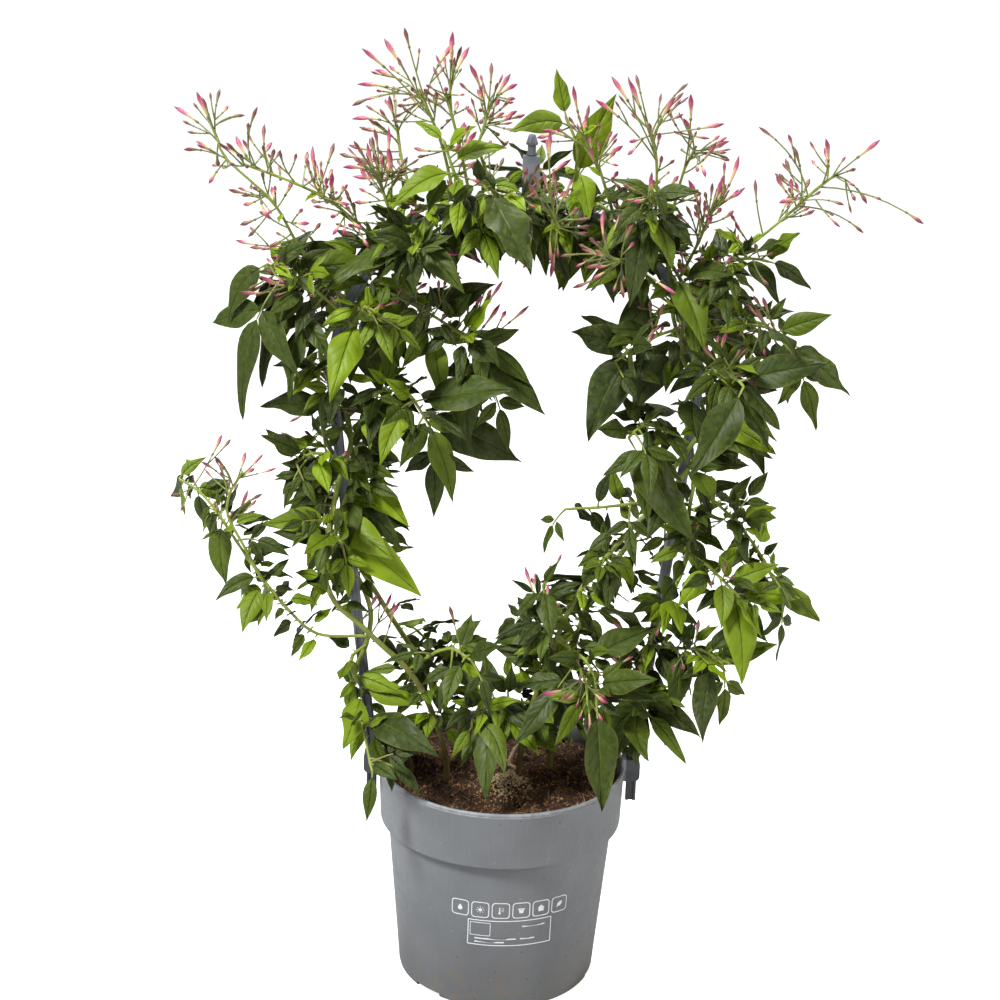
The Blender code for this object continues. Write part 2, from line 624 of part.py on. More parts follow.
def smooth_route(points, step):
    """Points about a step apart on a smooth curve through the given points."""
    points = [Vector(p) for p in points]
    ends = [points[0] * 2 - points[1]] + points + [points[-1] * 2 - points[-2]]
    out = [points[0]]
    for k in range(1, len(ends) - 2):
        a, b, c, d = ends[k - 1:k + 3]
        count = max(1, round((c - b).length / step))
        for j in range(1, count + 1):
            t = j / count
            out.append(0.5 * (2 * b + (c - a) * t + (2 * a - 5 * b + 4 * c - d) * t * t
                              + (3 * b - a - 3 * c + d) * t ** 3))
    return out


class Bed:
    """The solids placed so far, for finding room for the next one."""

    def __init__(self):
        self.solids = []

    def add(self, node, verts, faces):
        self.solids.append((node, *self.measure(verts, faces)[:3]))

    @staticmethod
    def measure(verts, faces):
        verts = [Vector(v) for v in verts]
        low = [min(v[k] for v in verts) for k in range(3)]
        high = [max(v[k] for v in verts) for k in range(3)]
        return BVHTree.FromPolygons(verts, faces), low, high, verts

    def add_object(self, piece):
        verts = [v.co / MM for v in piece.data.vertices]
        self.add(piece.name, verts, [tuple(p.vertices) for p in piece.data.polygons])

    def blocked(self, node, verts, faces):
        """Whether a shape meets the floor or a solid of another node."""
        tree, low, high, points = self.measure(verts, faces)
        if low[2] < CLEAR:
            return True
        for other, solid, lo, hi in self.solids:
            if other == node:
                continue
            if any(low[k] > hi[k] or high[k] < lo[k] for k in range(3)):
                continue
            if other == "way" and any(all(lo[k] < p[k] < hi[k] for k in range(3)) for p in points):
                return True
            if tree.overlap(solid):
                return True
        return False


def crosses_itself(verts, faces):
    """Whether faces that share no point cross each other."""
    tree = BVHTree.FromPolygons([Vector(v) for v in verts], faces)
    for a, b in tree.overlap(tree):
        if a < b and not set(faces[a]) & set(faces[b]):
            return True
    return False


def seat(bed, hint, toward, carriers):
    """A point just clear of the nearest vine, and the way out of its bark there."""
    look = hint + (toward - hint).normalized() * 5.0
    best = None
    for node, solid, low, high in bed.solids:
        if not node.startswith(carriers):
            continue
        spot, normal, face, gap = solid.find_nearest(look)
        if best is None or gap < best[0]:
            best = (gap, spot, normal)
    gap, spot, normal = best
    if normal.dot(look - spot) < 0:
        normal = -normal
    return spot + normal * CLEAR, normal


class Stem:
    """A three-sided stem with a short collar of two rings wherever something grows from it."""

    def __init__(self, points, radius, marks, collar, step=STEM_STEP):
        self.marks = marks
        total = polyline_length(points)
        stops = {0.0, total}
        count = max(1, round(total / step))
        for k in range(1, count):
            stop = total * k / count
            if all(abs(stop - mark * total) > step * 0.3 for mark in marks):
                stops.add(stop)
        self.roots = []
        for mark in marks:
            low = min(mark * total, total - collar)
            self.roots.append(low)
            stops.update((low, min(low + collar, total)))
        self.stops = sorted(stops)
        self.verts = []
        side = (points[1] - points[0]).orthogonal().normalized()
        for stop in self.stops:
            point, ahead = walk(points, stop)
            side = (side - ahead * side.dot(ahead)).normalized()
            up = ahead.cross(side)
            size = radius * (1.0 - 0.4 * stop / total)
            for j in range(3):
                turn = 2.0 * math.pi * j / 3
                self.verts.append(point + (side * math.cos(turn) + up * math.sin(turn)) * size)
        last = len(self.verts) - 3
        self.faces = [(0, 2, 1), (last, last + 1, last + 2)]
        for k in range(len(self.stops) - 1):
            for j in range(3):
                n = (j + 1) % 3
                a, b = 3 * k + j, 3 * k + n
                self.faces += [(a, b, b + 3), (a, b + 3, a + 3)]

    def end(self):
        """The triangle at the stem's tip."""
        return self.faces[1]

    def side_towards(self, mark, goal):
        """A triangle of the mark's collar that looks towards a goal."""
        ring = self.stops.index(self.roots[mark])
        best = None
        for j in range(3):
            n = (j + 1) % 3
            face = (3 * ring + j, 3 * ring + n, 3 * ring + n + 3)
            a, b, c = (self.verts[k] for k in face)
            look = (b - a).cross(c - a).normalized().dot((goal - (a + b + c) / 3).normalized())
            if best is None or look > best[0]:
                best = (look, face)
        return best[1]

    def ahead_at(self, mark):
        ring = 3 * self.stops.index(self.roots[mark])
        return (self.verts[ring + 3] - self.verts[ring]).normalized()


def walk(points, distance):
    """The point and heading that far along a polyline."""
    last = len(points) - 2
    for k in range(last + 1):
        a, b = points[k:k + 2]
        step = (b - a).length
        if distance <= step or k == last:
            break
        distance -= step
    return a + (b - a) * (distance / step), (b - a).normalized()


def place_stem(bed, node, route, radius, marks, collar, carriers="vine"):
    """A side stem from a vine along its route, bent until it is clear of the rest."""
    rng = random.Random(node)
    route = [Vector(p) for p in route]
    for attempt in range(STEM_TRIES):
        loose = attempt * STEM_STRAY
        bent = [p + Vector([rng.uniform(-loose, loose) for axis in range(3)]) for p in route]
        start, normal = seat(bed, bent[0], bent[1], carriers)
        points = smooth_route([start, start + normal * 4.0] + bent[1:], 8.0)
        stem = Stem(points, radius, marks, collar)
        if bed.blocked(node, stem.verts, stem.faces) or crosses_itself(stem.verts, stem.faces):
            continue
        bed.add(node, stem.verts, stem.faces)
        return stem
    return None


def vine_curve(hole, route, lane, join, end):
    """Up from its hole along its free stretch, then in turns round the hoop."""
    foot = SOIL_TOP - HOLE_DEPTH + CLEAR
    points = [(*hole, foot), (*hole, SOIL_TOP + 14.0)] + list(route)
    step = VINE_STEP if end > join else -VINE_STEP
    along = join
    while (end - along) * step > 0:
        middle, outward = hoop_point(along)
        turn = math.radians(lane + 360.0 * along / VINE_PITCH)
        offset = outward * math.cos(turn) + Vector((0.0, -math.sin(turn), 0.0))
        points.append(middle + offset * VINE_LANE_RADIUS)
        along += step
    return smooth_route(points, 8.0)


def polyline_length(points):
    return sum((b - a).length for a, b in zip(points, points[1:]))


def off_hoop(point):
    """The direction from the nearest place on the hoop to a point."""
    middles = [hoop_point(hoop_length() * k / 60)[0] for k in range(61)]
    return (point - min(middles, key=lambda middle: (middle - point).length)).normalized()


def build_vines(bed):
    """Twining stems, each in its own hole in the soil, with places for lone leaves along its upper part."""
    vines = []
    for name, course in VINES.items():
        curve = vine_curve(*course)
        length = polyline_length(curve)
        count = int(length * (1.0 - VINE_BARE_SHARE) / VINE_LEAF_PITCH)
        marks = [1.0 - k * VINE_LEAF_PITCH / length for k in range(count)]
        stem = Stem(curve, VINE_RADIUS, marks, LEAF_COLLAR, VINE_BEND)
        bed.add(name, stem.verts, stem.faces)
        vines.append((name, stem))
    return vines


def vine_leaves(name, stem):
    """A lone leaf at each mark, out from the hoop and hanging."""
    rng = random.Random(name)
    leaves = []
    for k in range(len(stem.marks)):
        at = stem.verts[3 * stem.stops.index(stem.roots[k])]
        reach = off_hoop(at) * 0.8 + Vector((0.0, -0.25, rng.uniform(-0.9, -0.3)))
        reach += stem.ahead_at(k) * rng.uniform(-0.5, 0.5)
        tip = at + reach.normalized() * (VINE_LEAF_REACH * rng.uniform(0.8, 1.15))
        leaves.append((*tip, 0, LONE_WIDTH))
    return leaves


def bezier(a, b, c, t):
    return a * (1 - t) ** 2 + b * 2 * t * (1 - t) + c * t * t


def bezier_heading(a, b, c, t):
    return ((b - a) * (1 - t) + (c - b) * t).normalized()


def blade_rings(curve, normal, width, shape, fold, waves):
    """Four-point rings (left edge, top, right edge, underside) along a rib, then the tip."""
    rings = []
    for k, (share, breadth) in enumerate(shape):
        point, ahead = curve(share)
        side = ahead.cross(normal).normalized()
        up = side.cross(ahead)
        half = width / 2 * breadth
        rise = up * (half * math.sin(fold))
        edge = side * (half * math.cos(fold))
        thick = up * (BLADE_THICKNESS / 2)
        rings.append([point - edge + rise + up * waves[2 * k], point + thick,
                      point + edge + rise + up * waves[2 * k + 1], point - thick])
    return rings, curve(1.0)[0]


def skin_rings(verts, faces, base, rings, tip):
    """Join a base of three or four points through the rings to the tip, alike above and below."""
    last = list(base)
    for ring in rings:
        new = list(range(len(verts), len(verts) + 4))
        verts.extend(ring)
        if len(last) == 3:
            a, b, c = last
            left, top, right, under = new
            faces.extend([(a, left, top), (a, top, b), (b, top, right), (b, right, c),
                          (c, right, under), (c, under, left), (c, left, a)])
        else:
            for k in range(4):
                n = (k + 1) % 4
                if k % 2:
                    faces.extend([(last[k], last[n], new[n]), (last[k], new[n], new[k])])
                else:
                    faces.extend([(last[k], last[n], new[k]), (last[n], new[n], new[k])])
        last = new
    verts.append(tip)
    for k in range(4):
        faces.append((last[k], last[(k + 1) % 4], len(verts) - 1))


def bridge(base, ring, verts):
    """Six faces from a triangle of points to a ring of three, by the shortest pairing."""
    def reach(turn):
        return sum((verts[base[k]] - verts[ring[(k + turn) % 3]]).length for k in range(3))
    order = min(range(3), key=reach)
    ring = [ring[(k + order) % 3] for k in range(3)]
    faces = []
    for k in range(3):
        n = (k + 1) % 3
        faces += [(base[k], base[n], ring[n]), (base[k], ring[n], ring[k])]
    return faces


def leaf_stations(pairs, length):
    """Where a leaf's stalk has its leaflet pairs, and all its rings, as shares of the leaf's length."""
    marks = {0: [], 1: [0.3], 2: [0.22, 0.42], 3: [0.18, 0.34, 0.5]}[pairs]
    root = marks[-1] + 0.05 + 3.0 / length if pairs else 0.13
    gap = 1.8 / length
    stations = [] if pairs else [0.06]
    for mark in marks:
        stations += [mark, mark + gap]
    stations.append(root)
    return marks, gap, root, stations


def stalk_frame(stalk, share, normal):
    """The point, heading, side and up direction at a share of a leaf's stalk."""
    point = bezier(*stalk, share)
    ahead = bezier_heading(*stalk, share)
    side = ahead.cross(normal).normalized()
    return point, ahead, side, side.cross(ahead)


def stalk_rings(stalk, normal, stations):
    """Three points round the stalk at each station."""
    points = []
    for share in stations:
        point, ahead, side, up = stalk_frame(stalk, share, normal)
        size = PETIOLE_RADIUS * (1.0 - 0.25 * share)
        lift = up * size * 0.5
        points += [point - side * size + lift, point + side * size + lift, point - up * size]
    return points


def skin_stalk(faces, count, pairs):
    """Join the stalk's rings, and give back the two faces left open for each pair of leaflets."""
    roots = []
    for k in range(count - 1):
        a, b = 3 * k + 3, 3 * k + 6
        faces += [(a, a + 1, b + 1), (a, b + 1, b)]
        if k % 2 == 0 and k // 2 < pairs:
            roots.append(((a + 2, a, b, b + 2), (b + 2, b + 1, a + 1, a + 2)))
            continue
        faces += [(a + 1, a + 2, b + 2), (a + 1, b + 2, b + 1)]
        faces += [(a + 2, a, b), (a + 2, b, b + 2)]
    return roots


def leaflet_rib(frame, hand, size):
    """The curve of a side leaflet's rib, out from the stalk and a little down."""
    point, ahead, side, up = frame
    out = (ahead * 0.55 + side * hand * 0.85 - up * 0.15).normalized()
    begin = point + side * hand * PETIOLE_RADIUS
    end = begin + out * size - up * size * 0.12
    mid = begin + out * size * 0.5 + up * size * 0.06

    def curve(t):
        return bezier(begin, mid, end, t), bezier_heading(begin, mid, end, t)
    return curve


def end_rib(stalk, root):
    """The curve of the end leaflet's rib, from its root to the leaf's tip."""
    def curve(t):
        share = root + (1.0 - root) * t
        return bezier(*stalk, share), bezier_heading(*stalk, share)
    return curve


def compound_leaf(base, heading, tip, normal, pairs, width, rng):
    """A leaf: a three-sided stalk with leaflets growing from its sides, and a long end leaflet.

    The first three points are the triangle of the stem that it grows from.
    """
    start = (base[0] + base[1] + base[2]) / 3
    length = (tip - start).length
    stalk = (start, start + heading * (length * 0.45), tip)
    fold = math.radians(rng.uniform(8, 20))
    marks, gap, root, stations = leaf_stations(pairs, length)
    verts = list(base) + stalk_rings(stalk, normal, stations)
    faces = bridge((0, 1, 2), (3, 4, 5), verts)
    for mark, roots in zip(marks, skin_stalk(faces, len(stations), len(marks))):
        frame = stalk_frame(stalk, mark + gap / 2, normal)
        size = length * SIDE_LEAFLET[pairs] * rng.uniform(0.9, 1.1)
        for hand, face in zip((-1, 1), roots):
            waves = [rng.uniform(-0.6, 0.6) for edge in range(4)]
            rib = leaflet_rib(frame, hand, size)
            rings = blade_rings(rib, frame[3], size * max(width, 0.4), SHORT_BLADE, fold, waves)
            skin_rings(verts, faces, face, *rings)
    rib = end_rib(stalk, root)
    waves = [rng.uniform(-1.3, 1.3) for edge in range(6)]
    outline = LONG_BLADE if pairs else SHORT_BLADE
    rings = blade_rings(rib, normal, length * (1.0 - root) * width, outline, fold, waves)
    skin_rings(verts, faces, tuple(3 * len(stations) + k for k in range(3)), *rings)
    return verts, faces


def blade_up(heading, at, rng):
    """Blades turn their faces up and away from the hoop's plane."""
    outward = Vector((0.25 * at.x / SHOULDER[0], -0.8 if at.y < 4 else 0.8, 0.75))
    outward += Vector([rng.uniform(-0.3, 0.3) for axis in range(3)])
    outward -= heading * outward.dot(heading)
    return outward.normalized()


def fits(bed, node, stem, face, shape, grown):
    """Whether a shape that grows from a stem is clear of the other nodes and of its own."""
    if bed.blocked(node, *shape):
        return False
    return not crosses_itself(*fuse(stem, grown + [(face, shape)]))


def place_leaf(bed, node, mark, stem, face, tip, pairs, width, grown):
    """One compound leaf, turned and shortened until it is clear."""
    rng = random.Random("%s leaf %d" % (node, mark))
    along = stem.ahead_at(mark)
    base = [stem.verts[k] for k in face]
    at = (base[0] + base[1] + base[2]) / 3
    for attempt in range(LEAF_TRIES):
        loose = LEAF_STRAY * attempt
        shrink = 1.0 - LEAF_SHRINK * attempt
        goal = at + (tip - at) * shrink + Vector([rng.uniform(-loose, loose) for axis in range(3)])
        reach = goal - at
        if reach.length < LEAST_REACH:
            goal = at + reach.normalized() * LEAST_REACH
        lift = along * 0.25 + Vector((0.0, 0.0, 0.35))
        heading = (reach.normalized() + lift).normalized()
        normal = blade_up(reach.normalized(), at, rng)
        count = pairs if reach.length > PAIRED_REACH else 0
        shape = compound_leaf(base, heading, goal, normal, count, width, rng)
        if fits(bed, node, stem, face, shape, grown):
            bed.add(node, *shape)
            return shape
    return None


def spray_bud(base, heading, tip, rng):
    """A three-sided stalk that grows from a triangle of the axis and swells into a slender bud."""
    start = (base[0] + base[1] + base[2]) / 3
    length = (tip - start).length
    bud = min(BUD_LENGTH, length * 0.62) / length
    knee = start + heading * (length * 0.5)
    size = BUD_RADIUS * rng.uniform(0.9, 1.1)
    verts = list(base)
    for share, radius in ((1.0 - bud, STALK_RADIUS), (1.0 - 0.45 * bud, size)):
        point = bezier(start, knee, tip, share)
        ahead = bezier_heading(start, knee, tip, share)
        side = ahead.orthogonal().normalized()
        up = ahead.cross(side)
        for k in range(3):
            turn = 2.0 * math.pi * k / 3
            verts.append(point + (side * math.cos(turn) + up * math.sin(turn)) * radius)
    verts.append(tip)
    faces = bridge((0, 1, 2), (3, 4, 5), verts) + bridge((3, 4, 5), (6, 7, 8), verts)
    faces += [(6, 7, 9), (7, 8, 9), (8, 6, 9)]
    return verts, faces


def place_bud(bed, node, mark, stem, face, tip, grown):
    """One bud on its stalk, from the axis to its tip."""
    rng = random.Random("%s bud %d" % (node, mark))
    along = stem.ahead_at(mark)
    base = [stem.verts[k] for k in face]
    at = (base[0] + base[1] + base[2]) / 3
    for attempt in range(BUD_TRIES):
        loose = BUD_STRAY * attempt
        goal = tip + Vector([rng.uniform(-loose, loose) for axis in range(3)])
        heading = ((goal - at).normalized() + along * 0.5).normalized()
        shape = spray_bud(base, heading, goal, rng)
        if fits(bed, node, stem, face, shape, grown):
            bed.add(node, *shape)
            return shape
    return None


def back_shoots():
    """Leafy shoots behind the hoop, spread evenly along it."""
    rng = random.Random("back")
    shoots = []
    for k in range(BACK_SHOOTS):
        along = hoop_length() * (0.2 + 0.62 * k / (BACK_SHOOTS - 1))
        middle, outward = hoop_point(along)
        start = middle + Vector((0.0, 8.0, 0.0))
        bend = middle + outward * rng.uniform(-6, 20) + Vector((0.0, 34.0, 4.0))
        end = middle + outward * rng.uniform(-5, 25) + Vector((0.0, BACK_REACH, -10.0))
        leaves = []
        for j in range(3):
            across = Vector((outward.z, 0.0, -outward.x)) * (24.0 * (j - 1))
            tip = end + across + outward * rng.uniform(-8, 24) + Vector((0.0, 12.0 - 14.0 * j, -26.0))
            leaves.append((*tip, 1, 0.42))
        shoots.append(("back_%d" % (k + 1), False, (start, bend, end), leaves))
    return shoots


def leaf_marks(leaves):
    """Where a shoot's leaves grow, as shares of its stem: even steps, with a partner beside each."""
    count = len(leaves)
    marks = [0.35 + 0.65 * k / max(1, count - 1) for k in range(count)]
    return marks + [mark + PARTNER_STEP for mark in marks[:-1]] + [1.0 - PARTNER_STEP]


def partner_tip(at, along, tip):
    """The tip of a leaf that grows from the other side of the stem."""
    reach = tip - at
    across = reach - along * reach.dot(along)
    mate = at + (reach - across * 2.0) * 0.9
    mate.y = min(max(mate.y, -SPREAD), SPREAD)
    mate.z = min(mate.z, at.z + 18.0)
    return mate


def bud_marks(route, tips):
    """Where a spray's buds grow: a bud and a half below each tip, kept apart, in the tips' own order."""
    points = smooth_route(route, 8.0)
    total = polyline_length(points)
    wanted = []
    for tip in tips:
        steps = [total * k / 40 for k in range(8, 41)]
        near = min(steps, key=lambda s: (walk(points, s)[0] - Vector(tip)).length)
        wanted.append(max(total * 0.2, near - BUD_LENGTH * 0.7) / total)
    order = sorted(range(len(tips)), key=lambda k: wanted[k])
    marks = [0.0] * len(tips)
    floor = 0.0
    room = BUD_SPACING / total
    for place, k in enumerate(order):
        marks[k] = max(wanted[k], floor)
        floor = marks[k] + room
    over = max(0.0, max(marks) - 1.0 + room)
    return [mark - over * mark for mark in marks]


def grow_leaves(bed, node, stem, leaves):
    """The listed leaves and their partners, the last listed one from the stem's own tip."""
    grown = []
    jobs = []
    for k, (x, y, z, pairs, width) in enumerate(leaves):
        jobs.append((k, Vector((x, y, z)), pairs, width, k == len(leaves) - 1))
    for k in range(len(stem.marks) - len(leaves)):
        at = stem.verts[3 * stem.stops.index(stem.roots[k])]
        tip = partner_tip(at, stem.ahead_at(k), jobs[k][1])
        jobs.append((len(leaves) + k, tip, 0, LONE_WIDTH, False))
    for mark, tip, pairs, width, last in jobs:
        face = stem.end() if last else stem.side_towards(mark, tip)
        leaf = place_leaf(bed, node, mark, stem, face, tip, pairs, width, grown)
        if leaf:
            grown.append((face, leaf))
    return grown


def grow_buds(bed, node, stem, tips):
    grown = []
    for mark, tip in enumerate(tips):
        tip = Vector(tip)
        face = stem.side_towards(mark, tip)
        bud = place_bud(bed, node, mark, stem, face, tip, grown)
        if bud:
            grown.append((face, bud))
    return grown


def fuse(stem, grown):
    """One closed skin: each growth takes the place of its triangle on the stem."""
    verts = list(stem.verts)
    taken = set(tuple(sorted(face)) for face, shape in grown)
    faces = [face for face in stem.faces if tuple(sorted(face)) not in taken]
    for face, (points, sides) in grown:
        lift = len(verts) - 3
        index = list(face) + [k + lift for k in range(3, len(points))]
        verts += points[3:]
        faces += [tuple(index[k] for k in side) for side in sides]
    return verts, faces


def grow(bed):
    """All stems first, then the leaves, then the buds, so that each finds room round the last."""
    bark = make_material("vine_stem", VINE_GREEN, 0.6)
    green = make_material("leaf_green", LEAF_GREEN, 0.45)
    young = make_material("leaf_young", YOUNG_GREEN, 0.4)
    pink = make_material("bud_pink", BUD_PINK, 0.5)
    vines = build_vines(bed)
    shoots = []
    for name, fresh, route, leaves in list(SHOOTS) + back_shoots():
        node = "shoot_" + name
        stem = place_stem(bed, node, route, STEM_RADIUS, leaf_marks(leaves), LEAF_COLLAR)
        if stem:
            shoots.append((node, young if fresh else green, leaves, stem))
    sprays = []
    for name, route, tips in SPRAYS:
        node = "spray_" + name
        carriers = ("vine", "shoot_long") if name == "branch_left" else "vine"
        marks = bud_marks(route, tips)
        stem = place_stem(bed, node, route, AXIS_RADIUS, marks, BUD_COLLAR, carriers)
        if stem:
            sprays.append((node, tips, stem))
    for node, material, leaves, stem in shoots:
        add_piece(node, *fuse(stem, grow_leaves(bed, node, stem, leaves)), material)
    for node, stem in vines:
        add_piece(node, *fuse(stem, grow_leaves(bed, node, stem, vine_leaves(node, stem))), bark)
    for node, tips, stem in sprays:
        add_piece(node, *fuse(stem, grow_buds(bed, node, stem, tips)), pink)


def main():
    clear_scene()
    bed = Bed()
    solids = [build_pot(), build_soil()] + build_hoop()
    for solid in solids:
        bed.add_object(solid)
    for low, high in OPENINGS:
        bed.add("way", *box(low, high))
    grow(bed)


main()
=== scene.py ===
"""Pink jasmine in bud on its hoop: the finish of the pot, peat, hoop, stems, leaves and buds.

Lengths are written in millimetres in the part's own frame, with +Z up and the hoop in the X-Z plane,
and each piece is turned into metres when its mesh is made. The stems, leaves and buds grow by the
part's own rules, so that each fine piece lies on the solid that it stands for.
"""
import json
import random
from collections import defaultdict, namedtuple
from functools import partial
from math import atan, cos, dist, exp, hypot, pi, radians, sin, sqrt

import bmesh
import bpy
from mathutils import Euler, Matrix, Vector, noise
from mathutils.bvhtree import BVHTree

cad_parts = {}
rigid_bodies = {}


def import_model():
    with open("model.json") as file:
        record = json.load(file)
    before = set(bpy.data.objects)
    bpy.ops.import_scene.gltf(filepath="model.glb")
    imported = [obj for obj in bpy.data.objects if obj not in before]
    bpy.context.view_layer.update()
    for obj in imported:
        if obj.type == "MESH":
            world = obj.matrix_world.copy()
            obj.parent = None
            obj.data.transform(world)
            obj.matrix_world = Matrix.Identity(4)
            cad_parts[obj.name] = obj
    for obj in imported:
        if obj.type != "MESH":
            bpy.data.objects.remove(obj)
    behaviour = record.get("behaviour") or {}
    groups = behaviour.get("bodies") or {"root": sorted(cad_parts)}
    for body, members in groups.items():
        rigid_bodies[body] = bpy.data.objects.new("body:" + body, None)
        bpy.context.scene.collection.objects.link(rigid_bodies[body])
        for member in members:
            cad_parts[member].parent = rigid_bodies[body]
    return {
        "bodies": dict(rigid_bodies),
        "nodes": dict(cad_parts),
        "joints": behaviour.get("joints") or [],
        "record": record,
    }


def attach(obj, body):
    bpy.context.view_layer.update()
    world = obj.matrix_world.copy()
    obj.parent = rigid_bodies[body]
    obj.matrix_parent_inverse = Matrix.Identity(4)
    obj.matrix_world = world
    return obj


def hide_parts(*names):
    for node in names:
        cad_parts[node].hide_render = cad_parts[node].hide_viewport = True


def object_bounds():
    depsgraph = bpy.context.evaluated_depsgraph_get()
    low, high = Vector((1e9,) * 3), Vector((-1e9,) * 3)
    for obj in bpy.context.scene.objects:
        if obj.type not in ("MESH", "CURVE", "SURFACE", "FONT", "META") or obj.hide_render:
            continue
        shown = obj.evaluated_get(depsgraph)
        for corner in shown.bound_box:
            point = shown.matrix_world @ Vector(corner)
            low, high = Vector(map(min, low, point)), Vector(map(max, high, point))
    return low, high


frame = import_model()
cad_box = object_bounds()

MM = 0.001
CLEAR = 0.3
# A full and a third of a turn in radians, as near as random growth needs them.
FULL_TURN = 6.28
THIRD_TURN = 2.09

POT_HEIGHT = 155.0
RIM_RADIUS = 85.0
COLLAR_HEIGHT = 40.0
COLLAR_FOOT_RADIUS = 83.4
BODY_TOP_RADIUS = 78.0
FOOT_RADIUS = 68.4
WALL = 1.8
FLOOR = 5.0
FOOT_DISC_RADIUS = 20.0
CHANNEL_HEIGHT = 3.0
DRAIN_COUNT = 6
DRAIN_RADIUS = 5.0
DRAIN_RING = 44.0
SLOT_COUNT = 6
SLOT_WIDTH = 22.0
LIP_WIDTH = 2.4
POT_SIDES = 144

DRAIN_TURN = 0.3
SLOT_AZIMUTH = -73.0
OVERCUT = 5.0

EAR_LENGTH = 16.0
EAR_WIDTH = 12.0
EAR_RISE = 5.0
EAR_LAP = 0.4
EAR_WALL = 1.5
# The ear's rounded outer corners, as distances in from its outer face and from its end.
EAR_ROUND = ((0.0, 4.0), (0.1, 3.0), (0.5, 2.0), (1.1, 1.2), (2.0, 0.5), (2.8, 0.15), (3.6, 0.0))

SOIL_TOP = 143.0
SOIL_SIDES = 120
SOIL_RINGS = 44
CLOD_AT = (4.0, -19.0)
CLOD_HEIGHT = 9.0
CLOD_SPREAD = 12.0

STRIP_WIDTH = 7.0
STRIP_DEPTH = 4.5
GROOVE_WIDTH = 2.8
GROOVE_DEPTH = 1.0
TAIL_X = 90.0
TAIL_BOTTOM = 128.0
TAIL_TOP = 160.0
SHOULDER = (118.0, 412.0)
ARCH_BENDS = 48
HUB_X = 5.8
HUB_WIDTH = 11.0
HUB_DEPTH = 8.0
HUB_HEIGHT = 32.5
HUB_DROP = 4.3
LEFT_LAP = 2.0
RIGHT_LAP = 3.4
PIN_RADIUS = 2.6
PIN_RISE = 13.4
PIN_HEAD_RADIUS = 3.8
PIN_HEAD_HEIGHT = 6.4
PIN_TIP_RADIUS = 2.0

VINE_RADIUS = 2.5
VINE_LANE_RADIUS = 9.2
VINE_PITCH = 110.0
VINE_STEP = 18.0
VINE_BEND = 22.0
VINE_LEAF_PITCH = 50.0
VINE_LEAF_REACH = 56.0
VINE_BARE_SHARE = 0.34
HOLE_DEPTH = 12.0

STEM_RADIUS = 1.4
AXIS_RADIUS = 1.2
STEM_STEP = 32.0
LEAF_COLLAR = 2.2
BUD_COLLAR = 1.6
BUD_SPACING = 2.6
PARTNER_STEP = 0.09
STEM_TRIES = 60
STEM_STRAY = 0.5
LEAF_TRIES = 36
LEAF_STRAY = 1.2
LEAF_SHRINK = 0.012
BUD_TRIES = 30
BUD_STRAY = 0.9
LEAST_REACH = 16.0
PAIRED_REACH = 30.0
BACK_SHOOTS = 5
BACK_REACH = 62.0
SPREAD = 82.0
LONE_WIDTH = 0.45
PETIOLE_RADIUS = 0.95
BLADE_THICKNESS = 1.4
BUD_RADIUS = 1.8
BUD_LENGTH = 19.0
STALK_RADIUS = 0.75

LONG_BLADE = ((0.17, 0.74), (0.44, 1.0), (0.75, 0.42))
SHORT_BLADE = ((0.24, 0.95), (0.62, 0.72))
SIDE_LEAFLET = {1: 0.46, 2: 0.36, 3: 0.3}

# The way through the hoop that the foliage leaves open, as boxes through the whole depth.
OPENINGS = (
    ((-36.0, -95.0, 300.5), (19.4, 95.0, 370.0)),
    ((21.0, -95.0, 347.0), (45.0, 95.0, 464.0)),
)

# A vine's hole in the soil, the points of its free stretch, then its lane on the hoop: the angle of
# its turn in degrees and where along the hoop's length it joins and ends.
VINES = {
    "vine_left_front": ((-38, -12), ((-46, -18, 190), (-62, -26, 227), (-96, -29, 262), (-121, -25, 292)),
                        156.0, 196.0, 650.0),
    "vine_left_back": ((-30, 14), ((-50, 16, 205), (-84, 20, 258), (-106, 19, 300)), 336.0, 190.0, 430.0),
    "vine_left_low": ((-64, -4), ((-76, -9, 168), (-91, -14, 186)), 216.0, 46.0, 330.0),
    "vine_right_front": ((12, -8), ((20, -14, 205), (44, -18, 280), (76, -18, 328)), 331.0, 708.0, 510.0),
    "vine_right_back": ((34, 12), ((44, 18, 220), (60, 20, 275), (88, 20, 318)), 29.0, 718.0, 420.0),
    "vine_right_outer": ((64, -6), ((84, -12, 215), (102, -18, 270), (117, -16, 312)), 225.0, 714.0, 642.0),
}

